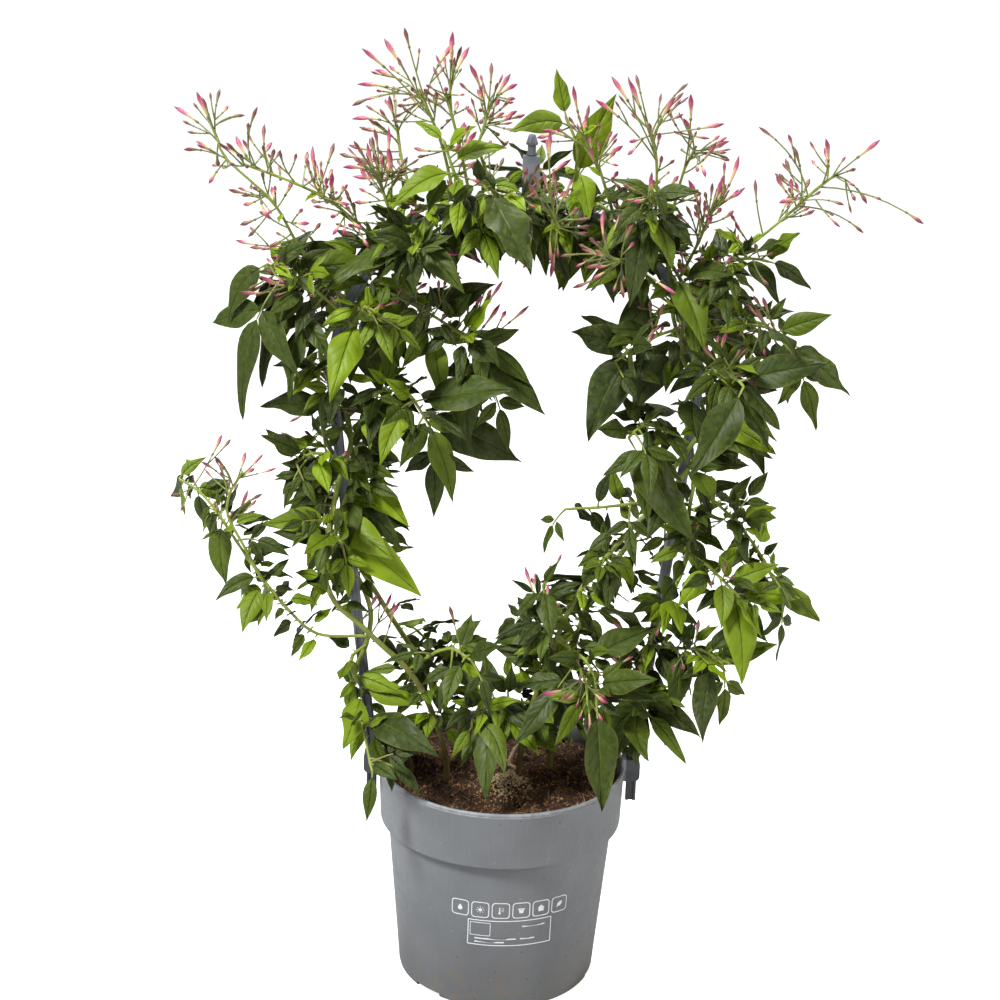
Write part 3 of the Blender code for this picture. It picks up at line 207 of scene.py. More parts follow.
# Leafy shoots: a name, whether its leaves are young, the stem's route from the vine, and each leaf's
# tip with its pairs of side leaflets and its end leaflet's width as a share of its length.
SHOOTS = (
    ("shoulder_left_out", False, ((-107, -8, 463), (-130, -22, 488), (-157, -32, 504)),
     ((-143, -44, 419, 1, 0.4), (-161, -30, 423, 0, 0.38), (-172, -40, 402, 1, 0.3),
      (-183, -20, 459, 0, 0.42))),
    ("cascade_left", True, ((-105, -12, 452), (-95, -40, 481), (-84, -56, 478)),
     ((-115, -64, 424, 0, 0.44), (-76, -66, 451, 1, 0.4), (-59, -52, 456, 1, 0.34))),
    ("shoulder_left_top", False, ((-79, -8, 503), (-65, -30, 522), (-64, -48, 516)),
     ((-122, -44, 490, 0, 0.36), (-32, -56, 493, 0, 0.44), (-92, -30, 515, 1, 0.4))),
    ("top_left_front", True, ((-32, -8, 530), (-39, -32, 563), (-47, -42, 579)),
     ((-36, -46, 548, 0, 0.38), (-79, -50, 548, 0, 0.44), (-67, -30, 595, 1, 0.36))),
    ("top_mid_front", False, ((-5, -8, 536), (-18, -32, 556), (-27, -42, 560)),
     ((5, -52, 517, 1, 0.4), (-45, -48, 542, 1, 0.36))),
    ("inner_left", False, ((-76, -6, 475), (-39, -20, 463), (-21, -24, 441)),
     ((-47, -28, 417, 1, 0.4), (12, -26, 428, 1, 0.36), (-2, -26, 383, 2, 0.36))),
    ("leg_left_inner", False, ((-107, -6, 411), (-79, -22, 419), (-57, -26, 402)),
     ((-92, -44, 390, 1, 0.42), (-32, -24, 347, 1, 0.36), (-62, -34, 321, 1, 0.38))),
    ("leg_left_bright", True, ((-110, -12, 341), (-118, -34, 333), (-109, -44, 327)),
     ((-74, -56, 319, 0, 0.48), (-55, -44, 290, 0, 0.4), (-101, -50, 289, 1, 0.46))),
    ("leg_left_outer", False, ((-110, -6, 370), (-129, -18, 378), (-140, -22, 372)),
     ((-123, -24, 420, 1, 0.4), (-148, -26, 339, 2, 0.38), (-125, -34, 347, 1, 0.38))),
    ("long_branch_left", False, ((-94, -18, 242), (-125, -30, 257), (-161, -36, 298), (-197, -34, 348),
     (-216, -28, 361)),
     ((-157, -40, 274, 0, 0.4), (-194, -46, 285, 0, 0.38), (-142, -44, 315, 1, 0.46),
      (-196, -50, 335, 1, 0.42), (-179, -44, 372, 1, 0.4))),
    ("leg_left_low", True, ((-91, -6, 243), (-103, -24, 234), (-95, -30, 214)),
     ((-113, -28, 202, 0, 0.46), (-69, -40, 213, 0, 0.42), (-108, -36, 175, 0, 0.56))),
    ("rim_left", False, ((-87, -6, 206), (-94, -44, 195), (-85, -70, 176)),
     ((-40, -86, 195, 0, 0.34), (-88, -80, 144, 0, 0.36))),
    ("bottom_left", False, ((-57, -22, 236), (-43, -42, 251), (-28, -52, 247)),
     ((-81, -52, 245, 1, 0.34), (-44, -60, 213, 1, 0.36), (-9, -60, 214, 1, 0.38))),
    ("bottom_mid", False, ((-3, -6, 209), (-17, -34, 214), (-21, -50, 201)),
     ((-10, -72, 159, 0, 0.42), (-41, -60, 190, 1, 0.38))),
    ("bottom_mid_top", False, ((34, -14, 243), (27, -26, 279), (21, -30, 295)),
     ((-8, -40, 260, 1, 0.36), (-10, -32, 309, 1, 0.26), (33, -30, 313, 1, 0.34))),
    ("bottom_right_front", False, ((53, -18, 246), (57, -48, 245), (60, -68, 227)),
     ((7, -66, 195, 1, 0.36), (29, -66, 200, 1, 0.38), (65, -96, 165, 0, 0.44))),
    ("bottom_right_out", False, ((98, -8, 214), (91, -34, 218), (94, -44, 214)),
     ((75, -44, 244, 1, 0.4), (122, -54, 181, 0, 0.32))),
    ("low_right_out", False, ((100, -10, 246), (129, -26, 252), (144, -32, 245)),
     ((110, -38, 204, 0, 0.44), (126, -44, 219, 1, 0.42), (143, -40, 203, 1, 0.44))),
    ("mid_right_out", True, ((106, -10, 312), (129, -30, 313), (154, -30, 285)),
     ((110, -46, 289, 0, 0.48), (132, -40, 267, 0, 0.48), (155, -36, 247, 0, 0.44),
      (152, -34, 309, 1, 0.4))),
    ("far_right", False, ((118, -6, 366), (159, -18, 327), (182, -20, 288)),
     ((149, -34, 355, 1, 0.4), (158, -14, 312, 1, 0.42), (204, -24, 252, 0, 0.26),
      (181, -20, 242, 1, 0.3))),
    ("right_inner_low", False, ((105, -8, 350), (70, -16, 347), (36, -16, 341)),
     ((81, -26, 309, 1, 0.36), (65, -20, 373, 1, 0.36), (23, -18, 309, 1, 0.34))),
    ("right_inner_mid", False, ((112, -6, 391), (88, -26, 404), (78, -34, 393)),
     ((63, -30, 400, 1, 0.4), (89, -44, 344, 1, 0.38), (116, -46, 332, 0, 0.42))),
    ("right_inner_top", False, ((106, -8, 465), (78, -26, 458), (64, -30, 447)),
     ((55, -26, 468, 0, 0.46), (48, -36, 396, 0, 0.46), (86, -40, 419, 1, 0.46))),
    ("right_big", False, ((119, -12, 433), (134, -38, 446), (143, -50, 440)),
     ((163, -46, 397, 1, 0.4), (111, -66, 384, 0, 0.42))),
    ("shoulder_right_out", False, ((127, -8, 472), (158, -20, 472), (174, -24, 457)),
     ((151, -36, 425, 1, 0.4), (176, -22, 422, 1, 0.42), (194, -28, 406, 1, 0.4))),
    ("shoulder_right_top", False, ((115, -8, 503), (140, -20, 515), (156, -22, 514)),
     ((131, -46, 475, 1, 0.4), (194, -24, 510, 0, 0.36), (186, -16, 495, 0, 0.38))),
    ("top_right", False, ((76, -8, 527), (81, -28, 549), (81, -34, 559)),
     ((59, -40, 476, 0, 0.4), (56, -44, 522, 1, 0.4), (110, -40, 559, 0, 0.42), (105, -48, 517, 1, 0.38))),
    ("top_young", True, ((28, -6, 543), (34, -18, 579), (26, -20, 599)),
     ((44, -24, 600, 0, 0.44), (8, -24, 606, 0, 0.44), (19, -22, 628, 0, 0.44))),
)

# Sprays of buds: a name, the axis's route from the vine, and the buds' tips.
SPRAYS = (
    ("far_left_low", ((-110, -6, 477), (-137, -24, 512), (-148, -28, 538), (-175, -30, 557),
     (-193, -26, 591)),
     ((-207, -40, 575), (-216, -18, 598), (-200, -30, 609), (-188, -12, 609), (-180, -36, 599),
      (-161, -22, 561), (-169, -14, 512), (-170, -34, 550))),
    ("far_left_high", ((-87, -10, 519), (-120, -26, 545), (-143, -30, 556), (-174, -32, 567)),
     ((-180, -46, 581), (-177, -24, 582), (-162, -36, 602), (-160, -18, 589), (-148, -42, 577),
      (-133, -28, 571), (-130, -20, 577), (-116, -40, 564))),
    ("left_upright", ((-74, -12, 518), (-84, -24, 545), (-89, -28, 564)),
     ((-103, -42, 584), (-97, -20, 574), (-88, -32, 574), (-79, -14, 574), (-110, -38, 567),
      (-73, -24, 564))),
    ("crown_left", ((-43, -14, 545), (-51, -22, 583), (-65, -24, 614)),
     ((-99, -38, 639), (-87, -16, 643), (-74, -28, 651), (-68, -10, 642), (-102, -34, 617),
      (-106, -20, 602), (-91, -12, 626))),
    ("crown_mid", ((-29, -10, 541), (-44, -16, 589), (-48, -14, 612)),
     ((-51, -28, 644), (-57, -6, 626), (-40, -18, 641), (-35, 0, 638), (-48, -24, 615), (-62, -10, 607))),
    ("crown_right", ((-19, -8, 540), (-27, -14, 577), (-20, -18, 608)),
     ((-34, -32, 631), (-21, -10, 630), (-9, -22, 625), (-1, -4, 620), (2, -28, 611), (-36, -14, 603),
      (-12, -6, 599))),
    ("crown_back", ((-58, 8, 531), (-73, 20, 564), (-81, 26, 588)),
     ((-96, 12, 589), (-104, 34, 580), (-86, 22, 603), (-79, 40, 609), (-66, 16, 602), (-110, 30, 587))),
    ("hub_front", ((17, -12, 536), (25, -34, 531), (19, -44, 545)),
     ((4, -58, 564), (11, -36, 568), (8, -48, 555), (30, -30, 557), (16, -54, 596))),
    ("top_right_low", ((57, -10, 533), (51, -22, 564), (35, -24, 586)),
     ((29, -38, 621), (40, -16, 607), (46, -28, 608), (38, -10, 588), (10, -34, 593), (55, -20, 592))),
    ("top_right_high", ((90, -10, 526), (84, -18, 568), (78, -18, 593)),
     ((43, -32, 612), (53, -10, 624), (64, -22, 623), (70, -4, 625), (92, -28, 615), (98, -14, 616),
      (111, -6, 613))),
    ("top_right_out", ((99, -8, 523), (99, -10, 561), (108, -10, 583)),
     ((111, -24, 614), (131, -2, 594), (128, -14, 587), (131, 4, 575), (98, -20, 601))),
    ("shoulder_right", ((116, -8, 509), (115, -20, 533), (121, -22, 548)),
     ((102, -36, 566), (119, -14, 561), (125, -26, 565), (131, -8, 560), (136, -32, 559), (103, -18, 547))),
    ("far_right", ((140, -6, 492), (158, -16, 534), (182, -20, 559), (196, -20, 571)),
     ((221, -34, 593), (231, -12, 565), (193, -24, 602), (188, -6, 584), (202, -30, 577), (216, -16, 551),
      (217, -8, 531), (200, -28, 552), (159, -34, 600), (168, -12, 585))),
    ("arch_front_right", ((76, -12, 517), (64, -40, 514), (49, -46, 525)),
     ((42, -60, 533), (56, -38, 549), (69, -50, 540), (82, -32, 528), (42, -56, 513), (25, -42, 517))),
    ("branch_left", ((-169, -38, 292), (-182, -50, 354), (-175, -52, 375)),
     ((-187, -66, 388), (-170, -44, 385), (-161, -56, 377), (-160, -38, 355), (-196, -62, 383))),
    ("bottom_right", ((63, -22, 248), (53, -60, 239), (54, -70, 228)),
     ((23, -84, 241), (39, -62, 228), (67, -74, 232), (88, -56, 240), (54, -80, 214), (53, -66, 253))),
)


def turns(count):
    """That many even turns, in radians."""
    return [2.0 * pi * k / count for k in range(count)]


def round_about(radius, count):
    """Even places on a circle round the Z axis."""
    return [(radius * cos(turn), radius * sin(turn)) for turn in turns(count)]


def circle(point, side, up, radius, count):
    """Even places on a circle round a point, from one side on."""
    return [point + (side * cos(turn) + up * sin(turn)) * radius for turn in turns(count)]


def squared(side, ahead):
    """A side direction squared up to a heading, and the third direction."""
    side = (side - ahead * side.dot(ahead)).normalized()
    return side, ahead.cross(side)


def middle_of(three):
    return sum(three, Vector()) / 3


def stray(rng, reach, times=1):
    """A random step of up to that reach along each axis."""
    return Vector([rng.uniform(-reach, reach) * times for axis in range(3)])


def tube_faces(rows, sides):
    """The faces round a tube with that many rows of points."""
    faces = []
    for k in range(rows - 1):
        for j in range(sides):
            a, b = k * sides + j, k * sides + (j + 1) % sides
            faces.append((a, b, b + sides, a + sides))
    return faces


def turned(profile, sides):
    """Points and faces of a closed profile (radius, height) turned round the Z axis."""
    verts = []
    rings = []
    for radius, height in profile:
        if radius < 1e-6:
            rings.append([len(verts)] * sides)
            verts.append((0.0, 0.0, height))
            continue
        rings.append(list(range(len(verts), len(verts) + sides)))
        verts += [(x, y, height) for x, y in round_about(radius, sides)]
    faces = []
    for low, high in zip(rings, rings[1:]):
        for k in range(sides):
            n = (k + 1) % sides
            corners = (low[k], low[n], high[n], high[k])
            faces.append(tuple(dict.fromkeys(corners)))
    return verts, faces


def box(low, high):
    verts = [(x, y, z) for z in (low[2], high[2]) for y in (low[1], high[1]) for x in (low[0], high[0])]
    faces = [(0, 2, 3, 1), (4, 5, 7, 6), (0, 1, 5, 4), (2, 6, 7, 3), (0, 4, 6, 2), (1, 3, 7, 5)]
    return verts, faces


def drum(centre, radius, low, high, sides=12):
    """An upright cylinder."""
    profile = [(0.0, low), (radius, low), (radius, high), (0.0, high)]
    verts, faces = turned(profile, sides)
    return [(x + centre[0], y + centre[1], z) for x, y, z in verts], faces


def hoop_lean():
    return atan((SHOULDER[0] - TAIL_X) / (SHOULDER[1] - TAIL_TOP))


def leg_length():
    return hypot(SHOULDER[0] - TAIL_X, SHOULDER[1] - TAIL_TOP)


def hoop_length():
    """From one ear over the arch to the other."""
    radius = SHOULDER[0] / cos(hoop_lean())
    return 2.0 * leg_length() + radius * (pi + 2.0 * hoop_lean())


def hoop_point(along):
    """The strip's middle and its outward direction, that far along from the left ear."""
    mirror = 1.0
    if along > hoop_length() / 2:
        along = hoop_length() - along
        mirror = -1.0
    lean = hoop_lean()
    if along < leg_length():
        share = along / leg_length()
        x = -(TAIL_X + share * (SHOULDER[0] - TAIL_X))
        z = TAIL_TOP + share * (SHOULDER[1] - TAIL_TOP)
        outward = Vector((-cos(lean), 0.0, -sin(lean)))
    else:
        radius = SHOULDER[0] / cos(lean)
        centre = SHOULDER[1] + radius * sin(lean)
        turn = pi + lean - (along - leg_length()) / radius
        outward = Vector((cos(turn), 0.0, sin(turn)))
        x = radius * outward.x
        z = centre + radius * outward.z
    outward.x *= mirror
    return Vector((x * mirror, 0.0, z)), outward


def smooth_route(points, step):
    """Points about a step apart on a smooth curve through the given points."""
    points = [Vector(p) for p in points]
    ends = [points[0] * 2 - points[1]] + points + [points[-1] * 2 - points[-2]]
    out = [points[0]]
    for k in range(1, len(ends) - 2):
        a, b, c, d = ends[k - 1:k + 3]
        count = max(1, round((c - b).length / step))
        for j in range(1, count + 1):
            t = j / count
            out.append(0.5 * (2 * b + (c - a) * t + (2 * a - 5 * b + 4 * c - d) * t * t
                              + (3 * b - a - 3 * c + d) * t ** 3))
    return out


def taper(count, start, end):
    return [start + (end - start) * k / (count - 1) for k in range(count)]


class Bed:
    """The solids placed so far, for finding room for the next one."""

    def __init__(self):
        self.solids = []

    def add(self, node, verts, faces):
        self.solids.append((node, *self.measure(verts, faces)[:3]))

    @staticmethod
    def measure(verts, faces):
        verts = [Vector(v) for v in verts]
        low = [min(v[k] for v in verts) for k in range(3)]
        high = [max(v[k] for v in verts) for k in range(3)]
        return BVHTree.FromPolygons(verts, faces), low, high, verts

    def add_object(self, piece):
        verts = [v.co / MM for v in piece.data.vertices]
        self.add(piece.name, verts, [tuple(p.vertices) for p in piece.data.polygons])

    def blocked(self, node, verts, faces):
        """Whether a shape meets the floor or a solid of another node."""
        tree, low, high, points = self.measure(verts, faces)
        if low[2] < CLEAR:
            return True
        for other, solid, lo, hi in self.solids:
            if other == node or any(low[k] > hi[k] or high[k] < lo[k] for k in range(3)):
                continue
            if other == "way" and any(all(lo[k] < p[k] < hi[k] for k in range(3)) for p in points):
                return True
            if tree.overlap(solid):
                return True
        return False


def crosses_itself(verts, faces):
    """Whether faces that share no point cross each other."""
    tree = BVHTree.FromPolygons([Vector(v) for v in verts], faces)
    return any(a < b and not set(faces[a]) & set(faces[b]) for a, b in tree.overlap(tree))


def bezier(a, b, c, t):
    return a * (1 - t) ** 2 + b * 2 * t * (1 - t) + c * t * t


def bow(a, b, c, t):
    """The point and heading at a share of the curve from a towards b and round to c."""
    return bezier(a, b, c, t), ((b - a) * (1 - t) + (c - b) * t).normalized()


def vine_curve(hole, route, lane, join, end):
    """Up from its hole along its free stretch, then in turns round the hoop."""
    foot = SOIL_TOP - HOLE_DEPTH + CLEAR
    points = [(*hole, foot), (*hole, SOIL_TOP + 14.0)] + list(route)
    step = VINE_STEP if end > join else -VINE_STEP
    along = join
    while (end - along) * step > 0:
        middle, outward = hoop_point(along)
        turn = radians(lane + 360.0 * along / VINE_PITCH)
        offset = outward * cos(turn) + Vector((0.0, -sin(turn), 0.0))
        points.append(middle + offset * VINE_LANE_RADIUS)
        along += step
    return smooth_route(points, 8.0)


def polyline_length(points):
    return sum((b - a).length for a, b in zip(points, points[1:]))


def off_hoop(point):
    """The direction from the nearest place on the hoop to a point."""
    middles = [hoop_point(hoop_length() * k / 60)[0] for k in range(61)]
    return (point - min(middles, key=lambda middle: (middle - point).length)).normalized()


def build_vines(bed):
    """Twining stems, each in its own hole, with places for lone leaves along its upper part."""
    vines = []
    for name, course in VINES.items():
        curve = vine_curve(*course)
        length = polyline_length(curve)
        count = int(length * (1.0 - VINE_BARE_SHARE) / VINE_LEAF_PITCH)
        marks = [1.0 - k * VINE_LEAF_PITCH / length for k in range(count)]
        stem = Stem(curve, VINE_RADIUS, marks, LEAF_COLLAR, VINE_BEND)
        bed.add(name, stem.verts, stem.faces)
        vines.append((name, stem))
    return vines


def vine_leaves(name, stem):
    """A lone leaf at each mark, out from the hoop and hanging."""
    rng = random.Random(name)
    leaves = []
    for k in range(len(stem.marks)):
        at = stem.verts[stem.root_at(k)]
        reach = off_hoop(at) * 0.8 + Vector((0.0, -0.25, rng.uniform(-0.9, -0.3)))
        reach += stem.ahead_at(k) * rng.uniform(-0.5, 0.5)
        tip = at + reach.normalized() * (VINE_LEAF_REACH * rng.uniform(0.8, 1.15))
        leaves.append((*tip, 0, LONE_WIDTH))
    return leaves


def seat(bed, hint, toward, carriers):
    """A point just clear of the nearest vine, and the way out of its bark there."""
    look = hint + (toward - hint).normalized() * 5.0
    near = [solid.find_nearest(look) for node, solid, *limits in bed.solids if node.startswith(carriers)]
    spot, normal, face, gap = min(near, key=lambda one: one[3])
    if normal.dot(look - spot) < 0:
        normal = -normal
    return spot + normal * CLEAR, normal


class Stem:
    """A three-sided stem with a short collar of two rings wherever something grows from it."""

    def __init__(self, points, radius, marks, collar, step=STEM_STEP):
        self.marks = marks
        total = polyline_length(points)
        stops = {0.0, total}
        count = max(1, round(total / step))
        for k in range(1, count):
            stop = total * k / count
            if all(abs(stop - mark * total) > step * 0.3 for mark in marks):
                stops.add(stop)
        self.roots = [min(mark * total, total - collar) for mark in marks]
        for low in self.roots:
            stops.update((low, min(low + collar, total)))
        self.stops = sorted(stops)
        self.verts = []
        side = (points[1] - points[0]).orthogonal().normalized()
        for stop in self.stops:
            point, ahead = walk(points, stop)
            side, up = squared(side, ahead)
            self.verts += circle(point, side, up, radius * (1.0 - 0.4 * stop / total), 3)
        last = len(self.verts) - 3
        self.faces = [(0, 2, 1), (last, last + 1, last + 2)]
        for a, b, c, d in tube_faces(len(self.stops), 3):
            self.faces += [(a, b, c), (a, c, d)]

    def end(self):
        """The triangle at the stem's tip."""
        return self.faces[1]

    def root_at(self, mark):
        """The first point of a mark's collar."""
        return 3 * self.stops.index(self.roots[mark])

    def side_towards(self, mark, goal):
        """A triangle of the mark's collar that looks towards a goal."""
        ring = self.root_at(mark)

        def look(face):
            a, b, c = (self.verts[k] for k in face)
            return (b - a).cross(c - a).normalized().dot((goal - (a + b + c) / 3).normalized())
        return max(((ring + j, ring + n, ring + n + 3) for j, n in ((0, 1), (1, 2), (2, 0))), key=look)

    def ahead_at(self, mark):
        ring = self.root_at(mark)
        return (self.verts[ring + 3] - self.verts[ring]).normalized()


def walk(points, distance):
    """The point and heading that far along a polyline."""
    last = len(points) - 2
    for k in range(last + 1):
        a, b = points[k:k + 2]
        step = (b - a).length
        if distance <= step or k == last:
            break
        distance -= step
    return a + (b - a) * (distance / step), (b - a).normalized()


def place_stem(bed, node, route, radius, marks, collar, carriers="vine"):
    """A side stem from a vine along its route, bent until it is clear of the rest."""
    rng = random.Random(node)
    route = [Vector(p) for p in route]
    for attempt in range(STEM_TRIES):
        bent = [p + stray(rng, attempt * STEM_STRAY) for p in route]
        start, normal = seat(bed, bent[0], bent[1], carriers)
        points = smooth_route([start, start + normal * 4.0] + bent[1:], 8.0)
        stem = Stem(points, radius, marks, collar)
        if bed.blocked(node, stem.verts, stem.faces) or crosses_itself(stem.verts, stem.faces):
            continue
        bed.add(node, stem.verts, stem.faces)
        return stem
    return None


def blade_rings(curve, normal, width, shape, fold, waves):
    """Four-point rings (left edge, top, right edge, underside) along a rib, then the tip."""
    rings = []
    for k, (share, breadth) in enumerate(shape):
        point, ahead = curve(share)
        side = ahead.cross(normal).normalized()
        up = side.cross(ahead)
        half = width / 2 * breadth
        rise = up * (half * sin(fold))
        edge = side * (half * cos(fold))
        thick = up * (BLADE_THICKNESS / 2)
        rings.append([point - edge + rise + up * waves[2 * k], point + thick,
                      point + edge + rise + up * waves[2 * k + 1], point - thick])
    return rings, curve(1.0)[0]


def skin_rings(verts, faces, base, rings, tip):
    """Join a base of three or four points through the rings to the tip."""
    last = list(base)
    for ring in rings:
        new = list(range(len(verts), len(verts) + 4))
        verts.extend(ring)
        if len(last) == 3:
            a, b, c = last
            left, top, right, under = new
            faces.extend([(a, left, top), (a, top, b), (b, top, right), (b, right, c),
                          (c, right, under), (c, under, left), (c, left, a)])
        else:
            for k in range(4):
                n = (k + 1) % 4
                if k % 2:
                    faces.extend([(last[k], last[n], new[n]), (last[k], new[n], new[k])])
                else:
                    faces.extend([(last[k], last[n], new[k]), (last[n], new[n], new[k])])
        last = new
    verts.append(tip)
    for k in range(4):
        faces.append((last[k], last[(k + 1) % 4], len(verts) - 1))


def bridge(base, ring, verts):
    """Six faces from a triangle of points to a ring of three, by the shortest pairing."""
    def reach(turn):
        return sum((verts[base[k]] - verts[ring[(k + turn) % 3]]).length for k in range(3))
    order = min(range(3), key=reach)
    ring = [ring[(k + order) % 3] for k in range(3)]
    faces = []
    for k in range(3):
        n = (k + 1) % 3
        faces += [(base[k], base[n], ring[n]), (base[k], ring[n], ring[k])]
    return faces


def leaf_stations(pairs, length):
    """Where a leaf's stalk has its leaflets and its rings, as shares of the leaf's length."""
    marks = {0: [], 1: [0.3], 2: [0.22, 0.42], 3: [0.18, 0.34, 0.5]}[pairs]
    root = marks[-1] + 0.05 + 3.0 / length if pairs else 0.13
    gap = 1.8 / length
    stations = [] if pairs else [0.06]
    for mark in marks:
        stations += [mark, mark + gap]
    stations.append(root)
    return marks, gap, root, stations


def stalk_frame(stalk, share, normal):
    """The point, heading, side and up direction at a share of a leaf's stalk."""
    point, ahead = bow(*stalk, share)
    side = ahead.cross(normal).normalized()
    return point, ahead, side, side.cross(ahead)


def stalk_rings(stalk, normal, stations):
    """Three points round the stalk at each station."""
    points = []
    for share in stations:
        point, ahead, side, up = stalk_frame(stalk, share, normal)
        size = PETIOLE_RADIUS * (1.0 - 0.25 * share)
        lift = up * size * 0.5
        points += [point - side * size + lift, point + side * size + lift, point - up * size]
    return points


def skin_stalk(faces, count, pairs):
    """Join the stalk's rings, and give back the two openings for each pair of leaflets."""
    roots = []
    for k in range(count - 1):
        a, b = 3 * k + 3, 3 * k + 6
        faces += [(a, a + 1, b + 1), (a, b + 1, b)]
        if k % 2 == 0 and k // 2 < pairs:
            roots.append(((a + 2, a, b, b + 2), (b + 2, b + 1, a + 1, a + 2)))
            continue
        faces += [(a + 1, a + 2, b + 2), (a + 1, b + 2, b + 1)]
        faces += [(a + 2, a, b), (a + 2, b, b + 2)]
    return roots


def leaflet_rib(frame, hand, size):
    """The curve of a side leaflet's rib, out from the stalk and a little down."""
    point, ahead, side, up = frame
    out = (ahead * 0.55 + side * hand * 0.85 - up * 0.15).normalized()
    begin = point + side * hand * PETIOLE_RADIUS
    end = begin + out * size - up * size * 0.12
    return partial(bow, begin, begin + out * size * 0.5 + up * size * 0.06, end)


def end_rib(stalk, root):
    """The curve of the end leaflet's rib, from its root to the leaf's tip."""
    return lambda share: bow(*stalk, root + (1.0 - root) * share)


def compound_leaf(base, heading, tip, normal, pairs, width, rng):
    """A plain leaf for finding room, and what the fine one is drawn from."""
    start = middle_of(base)
    length = (tip - start).length
    stalk = (start, start + heading * (length * 0.45), tip)
    fold = radians(rng.uniform(8, 20))
    marks, gap, root, stations = leaf_stations(pairs, length)
    verts = list(base) + stalk_rings(stalk, normal, stations)
    faces = bridge((0, 1, 2), (3, 4, 5), verts)
    blades = []
    for mark, roots in zip(marks, skin_stalk(faces, len(stations), len(marks))):
        frame = stalk_frame(stalk, mark + gap / 2, normal)
        size = length * SIDE_LEAFLET[pairs] * rng.uniform(0.9, 1.1)
        for hand, face in zip((-1, 1), roots):
            waves = [rng.uniform(-0.6, 0.6) for edge in range(4)]
            rib = leaflet_rib(frame, hand, size)
            rings = blade_rings(rib, frame[3], size * max(width, 0.4), SHORT_BLADE, fold, waves)
            skin_rings(verts, faces, face, *rings)
            blades.append(Blade(rib, frame[3], size, size * max(width, 0.4), fold))
    rib = end_rib(stalk, root)
    waves = [rng.uniform(-1.3, 1.3) for edge in range(6)]
    outline = LONG_BLADE if pairs else SHORT_BLADE
    rings = blade_rings(rib, normal, length * (1.0 - root) * width, outline, fold, waves)
    skin_rings(verts, faces, tuple(3 * len(stations) + k for k in range(3)), *rings)
    blades.append(Blade(rib, normal, length * (1.0 - root), length * (1.0 - root) * width, fold))
    return verts, faces, Leaf(blades, *stalk, root, marks)


Blade = namedtuple("Blade", "curve up length width fold")
Leaf = namedtuple("Leaf", "blades start knee tip root marks")
Bud = namedtuple("Bud", "start knee tip share")


def blade_up(heading, at, rng):
    """Blades turn their faces up and away from the hoop's plane."""
    outward = Vector((0.25 * at.x / SHOULDER[0], -0.8 if at.y < 4 else 0.8, 0.75))
    outward += stray(rng, 0.3)
    outward -= heading * outward.dot(heading)
    return outward.normalized()


def fits(bed, node, stem, face, shape, grown):
    """Whether a shape that grows from a stem is clear of the other nodes and of its own."""
    if bed.blocked(node, *shape):
        return False
    return not crosses_itself(*fuse(stem, grown + [(face, shape)]))


def spray_bud(base, heading, tip, rng):
    """A plain bud for finding room, and what the fine one is drawn from."""
    start = middle_of(base)
    length = (tip - start).length
    bud = min(BUD_LENGTH, length * 0.62) / length
    knee = start + heading * (length * 0.5)
    size = BUD_RADIUS * rng.uniform(0.9, 1.1)
    verts = list(base)
    for share, radius in ((1.0 - bud, STALK_RADIUS), (1.0 - 0.45 * bud, size)):
        point, ahead = bow(start, knee, tip, share)
        side = ahead.orthogonal().normalized()
        verts += circle(point, side, ahead.cross(side), radius, 3)
    verts.append(tip)
    faces = bridge((0, 1, 2), (3, 4, 5), verts) + bridge((3, 4, 5), (6, 7, 8), verts)
    faces += [(6, 7, 9), (7, 8, 9), (8, 6, 9)]
    return verts, faces, Bud(start, knee, tip, bud)


def back_shoots():
    """Leafy shoots behind the hoop, spread evenly along it."""
    rng = random.Random("back")
    shoots = []
    for k in range(BACK_SHOOTS):
        along = hoop_length() * (0.2 + 0.62 * k / (BACK_SHOOTS - 1))
        middle, outward = hoop_point(along)
        start = middle + Vector((0.0, 8.0, 0.0))
        bend = middle + outward * rng.uniform(-6, 20) + Vector((0.0, 34.0, 4.0))
        end = middle + outward * rng.uniform(-5, 25) + Vector((0.0, BACK_REACH, -10.0))
        leaves = []
        for j in range(3):
            across = Vector((outward.z, 0.0, -outward.x)) * (24.0 * (j - 1))
            tip = end + across + outward * rng.uniform(-8, 24) + Vector((0.0, 12.0 - 14.0 * j, -26.0))
            leaves.append((*tip, 1, 0.42))
        shoots.append(("back_%d" % (k + 1), False, (start, bend, end), leaves))
    return shoots


def leaf_marks(leaves):
    """Where a shoot's leaves grow, as shares of its stem, with a partner beside each."""
    count = len(leaves)
    marks = [0.35 + 0.65 * k / max(1, count - 1) for k in range(count)]
    return marks + [mark + PARTNER_STEP for mark in marks[:-1]] + [1.0 - PARTNER_STEP]


def partner_tip(at, along, tip):
    """The tip of a leaf that grows from the other side of the stem."""
    reach = tip - at
    across = reach - along * reach.dot(along)
    mate = at + (reach - across * 2.0) * 0.9
    mate.y = min(max(mate.y, -SPREAD), SPREAD)
    mate.z = min(mate.z, at.z + 18.0)
    return mate


def bud_marks(route, tips):
    """Where a spray's buds grow, as shares: below each tip, kept apart."""
    points = smooth_route(route, 8.0)
    total = polyline_length(points)
    wanted = []
    for tip in tips:
        steps = [total * k / 40 for k in range(8, 41)]
        near = min(steps, key=lambda s: (walk(points, s)[0] - Vector(tip)).length)
        wanted.append(max(total * 0.2, near - BUD_LENGTH * 0.7) / total)
    order = sorted(range(len(tips)), key=lambda k: wanted[k])
    marks = [0.0] * len(tips)
    floor = 0.0
    room = BUD_SPACING / total
    for place, k in enumerate(order):
        marks[k] = max(wanted[k], floor)
        floor = marks[k] + room
    over = max(0.0, max(marks) - 1.0 + room)
    return [mark - over * mark for mark in marks]


